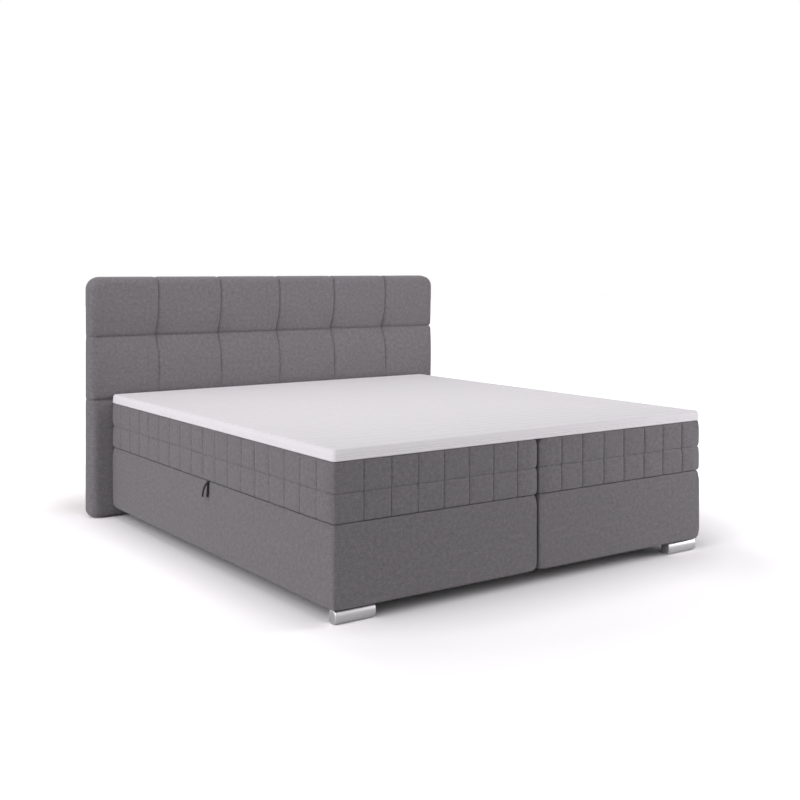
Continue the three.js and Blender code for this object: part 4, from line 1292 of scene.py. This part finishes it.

# Topper
# One thin mattress lies over both halves in a white knitted cover, with lines of quilting
# across it and two seams round its border. A real one folds at the middle when a lid is lifted;
# here it is two fixed halves that meet at the middle.
topper_corner = 0.016
topper_top_roll = 0.011
topper_floor_roll = 0.0015
topper_border_seams = np.array([0.42, 0.66])
topper_seam_dip = 0.0014
topper_channel = 0.062
topper_channel_dip = 0.0027
topper_channel_width = 0.012
topper_lean = 0.0020
topper_piping = 0.0014
topper_piping_place = 0.90
topper_piping_width = 0.12
topper_unevenness = 0.0004
topper_bulge = 0.0012
topper_seam_width = 0.09
topper_wave_length = 0.21
topper_line_gap = 3e-4
topper_edges = np.array([0, 0.0006, 0.0015, 0.003, 0.005, 0.0075, 0.011, 0.016, 0.024, 0.042])
topper_lines = 30
topper_border_lines = 25
topper_fold_lines = (-0.060, -0.050, -0.035)
topper_seam_lines = np.array([0, 0.002, 0.005, 0.010, 0.016])
topper_low, topper_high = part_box("topper_left")

# The border is painted paler and evener than the top, as painted light, and the quilted
# channels are painted a little darker, as painted shade in their creases
knit_dark = (0.82, 0.815, 0.825, 1)
knit_light = (0.92, 0.913, 0.925, 1)
knit_places = (0.3, 0.7)
# Painted light: the border's paler colour
border_painted_light = (0.955, 0.948, 0.96, 1)
border_light_share = 0.6
border_start = 0.012
border_end = 0.005
border_limit = 0.1
# Painted shade: the darker colour of the channels' creases
channel_shade_colour = (0.765, 0.76, 0.77, 1)
knit_stretch = (260, 700, 500)
knit_depth = 0.0005

white_ticking, white_tree = new_material("white knitted ticking")
white_knit = noise(white_tree, object_place(white_tree, knit_stretch), detail=3.0)
white_place = add_node(white_tree, "TexCoord", {})["Object"]
white_y, white_z = add_node(white_tree, "SeparateXYZ", {0: white_place})[1:3]
white_border_light = from_range(
    white_tree, white_z, border_light_share, 0.0,
    topper_high.z - border_start, topper_high.z - border_end,
)
white_along = math_node(white_tree, "SUBTRACT", white_y, topper_low.y)
# Painted shade along each quilted channel, where the top dips
white_from_seam = math_node(white_tree, "PINGPONG", white_along, topper_channel / 2)
white_channel_shade = from_range(white_tree, white_from_seam, 1.0, 0.0, 0.0, topper_channel_width / 2)
white_on_top = math_node(white_tree, "LESS_THAN", white_border_light, border_limit)
white_channel_shade = math_node(white_tree, "MULTIPLY", white_on_top, white_channel_shade)
white_colour = ramp(white_tree, white_knit, *zip(knit_places, (knit_dark, knit_light)))
white_colour = mix(white_tree, white_channel_shade, white_colour, channel_shade_colour)
shade(white_tree, {
    "Base Color": mix(white_tree, white_border_light, white_colour, border_painted_light),
    "Normal": bump(white_tree, white_knit, knit_depth, strength=0.35),
    "Roughness": 0.9, "Sheen Weight": 0.15, "Sheen Roughness": 0.5,
})


def topper_half(half, side):
    """Half of the topper, cut at the bed's middle, where it meets its twin.

    Across the top, each line of quilting is a shallow parabola every channel width. The
    border bulges, leans out downwards, dips at its two seams and stands out at its piping.
    """
    low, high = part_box("topper_left")
    low.z += cloth_gap
    a_lines = np.unique(np.concatenate([
        low.x + topper_edges, np.linspace(low.x, 0.0, topper_lines)[2:], -topper_edges[3:],
        topper_fold_lines,
    ]))
    seams = np.arange(low.y + topper_channel, high.y, topper_channel)
    b_lines = crease_lines(low.y, high.y, seams, topper_seam_lines)
    b_lines = edged_lines(low.y, high.y, topper_edges, b_lines, topper_line_gap)
    a_lines = thinned(a_lines, topper_line_gap)
    depth = high.z - low.z
    border = np.linspace(0, 1, topper_border_lines)[1:]
    straight = depth - topper_top_roll - topper_floor_roll
    bulge = topper_bulge * np.sin(np.pi * border)
    from_border_seam = np.abs(border[:, None] - topper_border_seams).min(1)
    dip = topper_seam_dip * fade(from_border_seam, topper_seam_width)
    piping = topper_piping * fade(np.abs(border - topper_piping_place), topper_piping_width)
    inset = dip - bulge - piping - topper_lean * border
    skirt = list(zip(inset, topper_top_roll + straight * border))
    draw, rise = roll_rows(topper_floor_roll, np.linspace(0, np.pi / 2, roll_steps)[1:])
    skirt += list(zip(draw - topper_lean, depth - topper_floor_roll + rise))
    slab = slab_grid(a_lines, b_lines, topper_corner, topper_top_roll, skirt, open_end=True)
    places = slab["places"] + (0, 0, high.z)
    from_seam = np.abs(places[:, 1][:, None] - seams).min(1)
    inner = np.clip(slab["edge"] / topper_corner, 0, 1)
    sink = topper_channel_dip * fade(from_seam, topper_channel_width)
    sink += topper_unevenness * (1 + ripple(places * (side, 1, 1), topper_wave_length, seed=13))
    places[:, 2] -= sink * inner * ~slab["skirt"]
    nodes = [f"topper_{half}", "topper_fold"]
    topper = add_piece(
        f"topper_half_{half}", places, slab["faces"], white_ticking, None, nodes,
        slab["cloth"], sharp=55, side=side,
    )
    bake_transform(topper)


for half, side in halves.items():
    topper_half(half, side)

bpy.context.scene.view_settings.view_transform = "Standard"
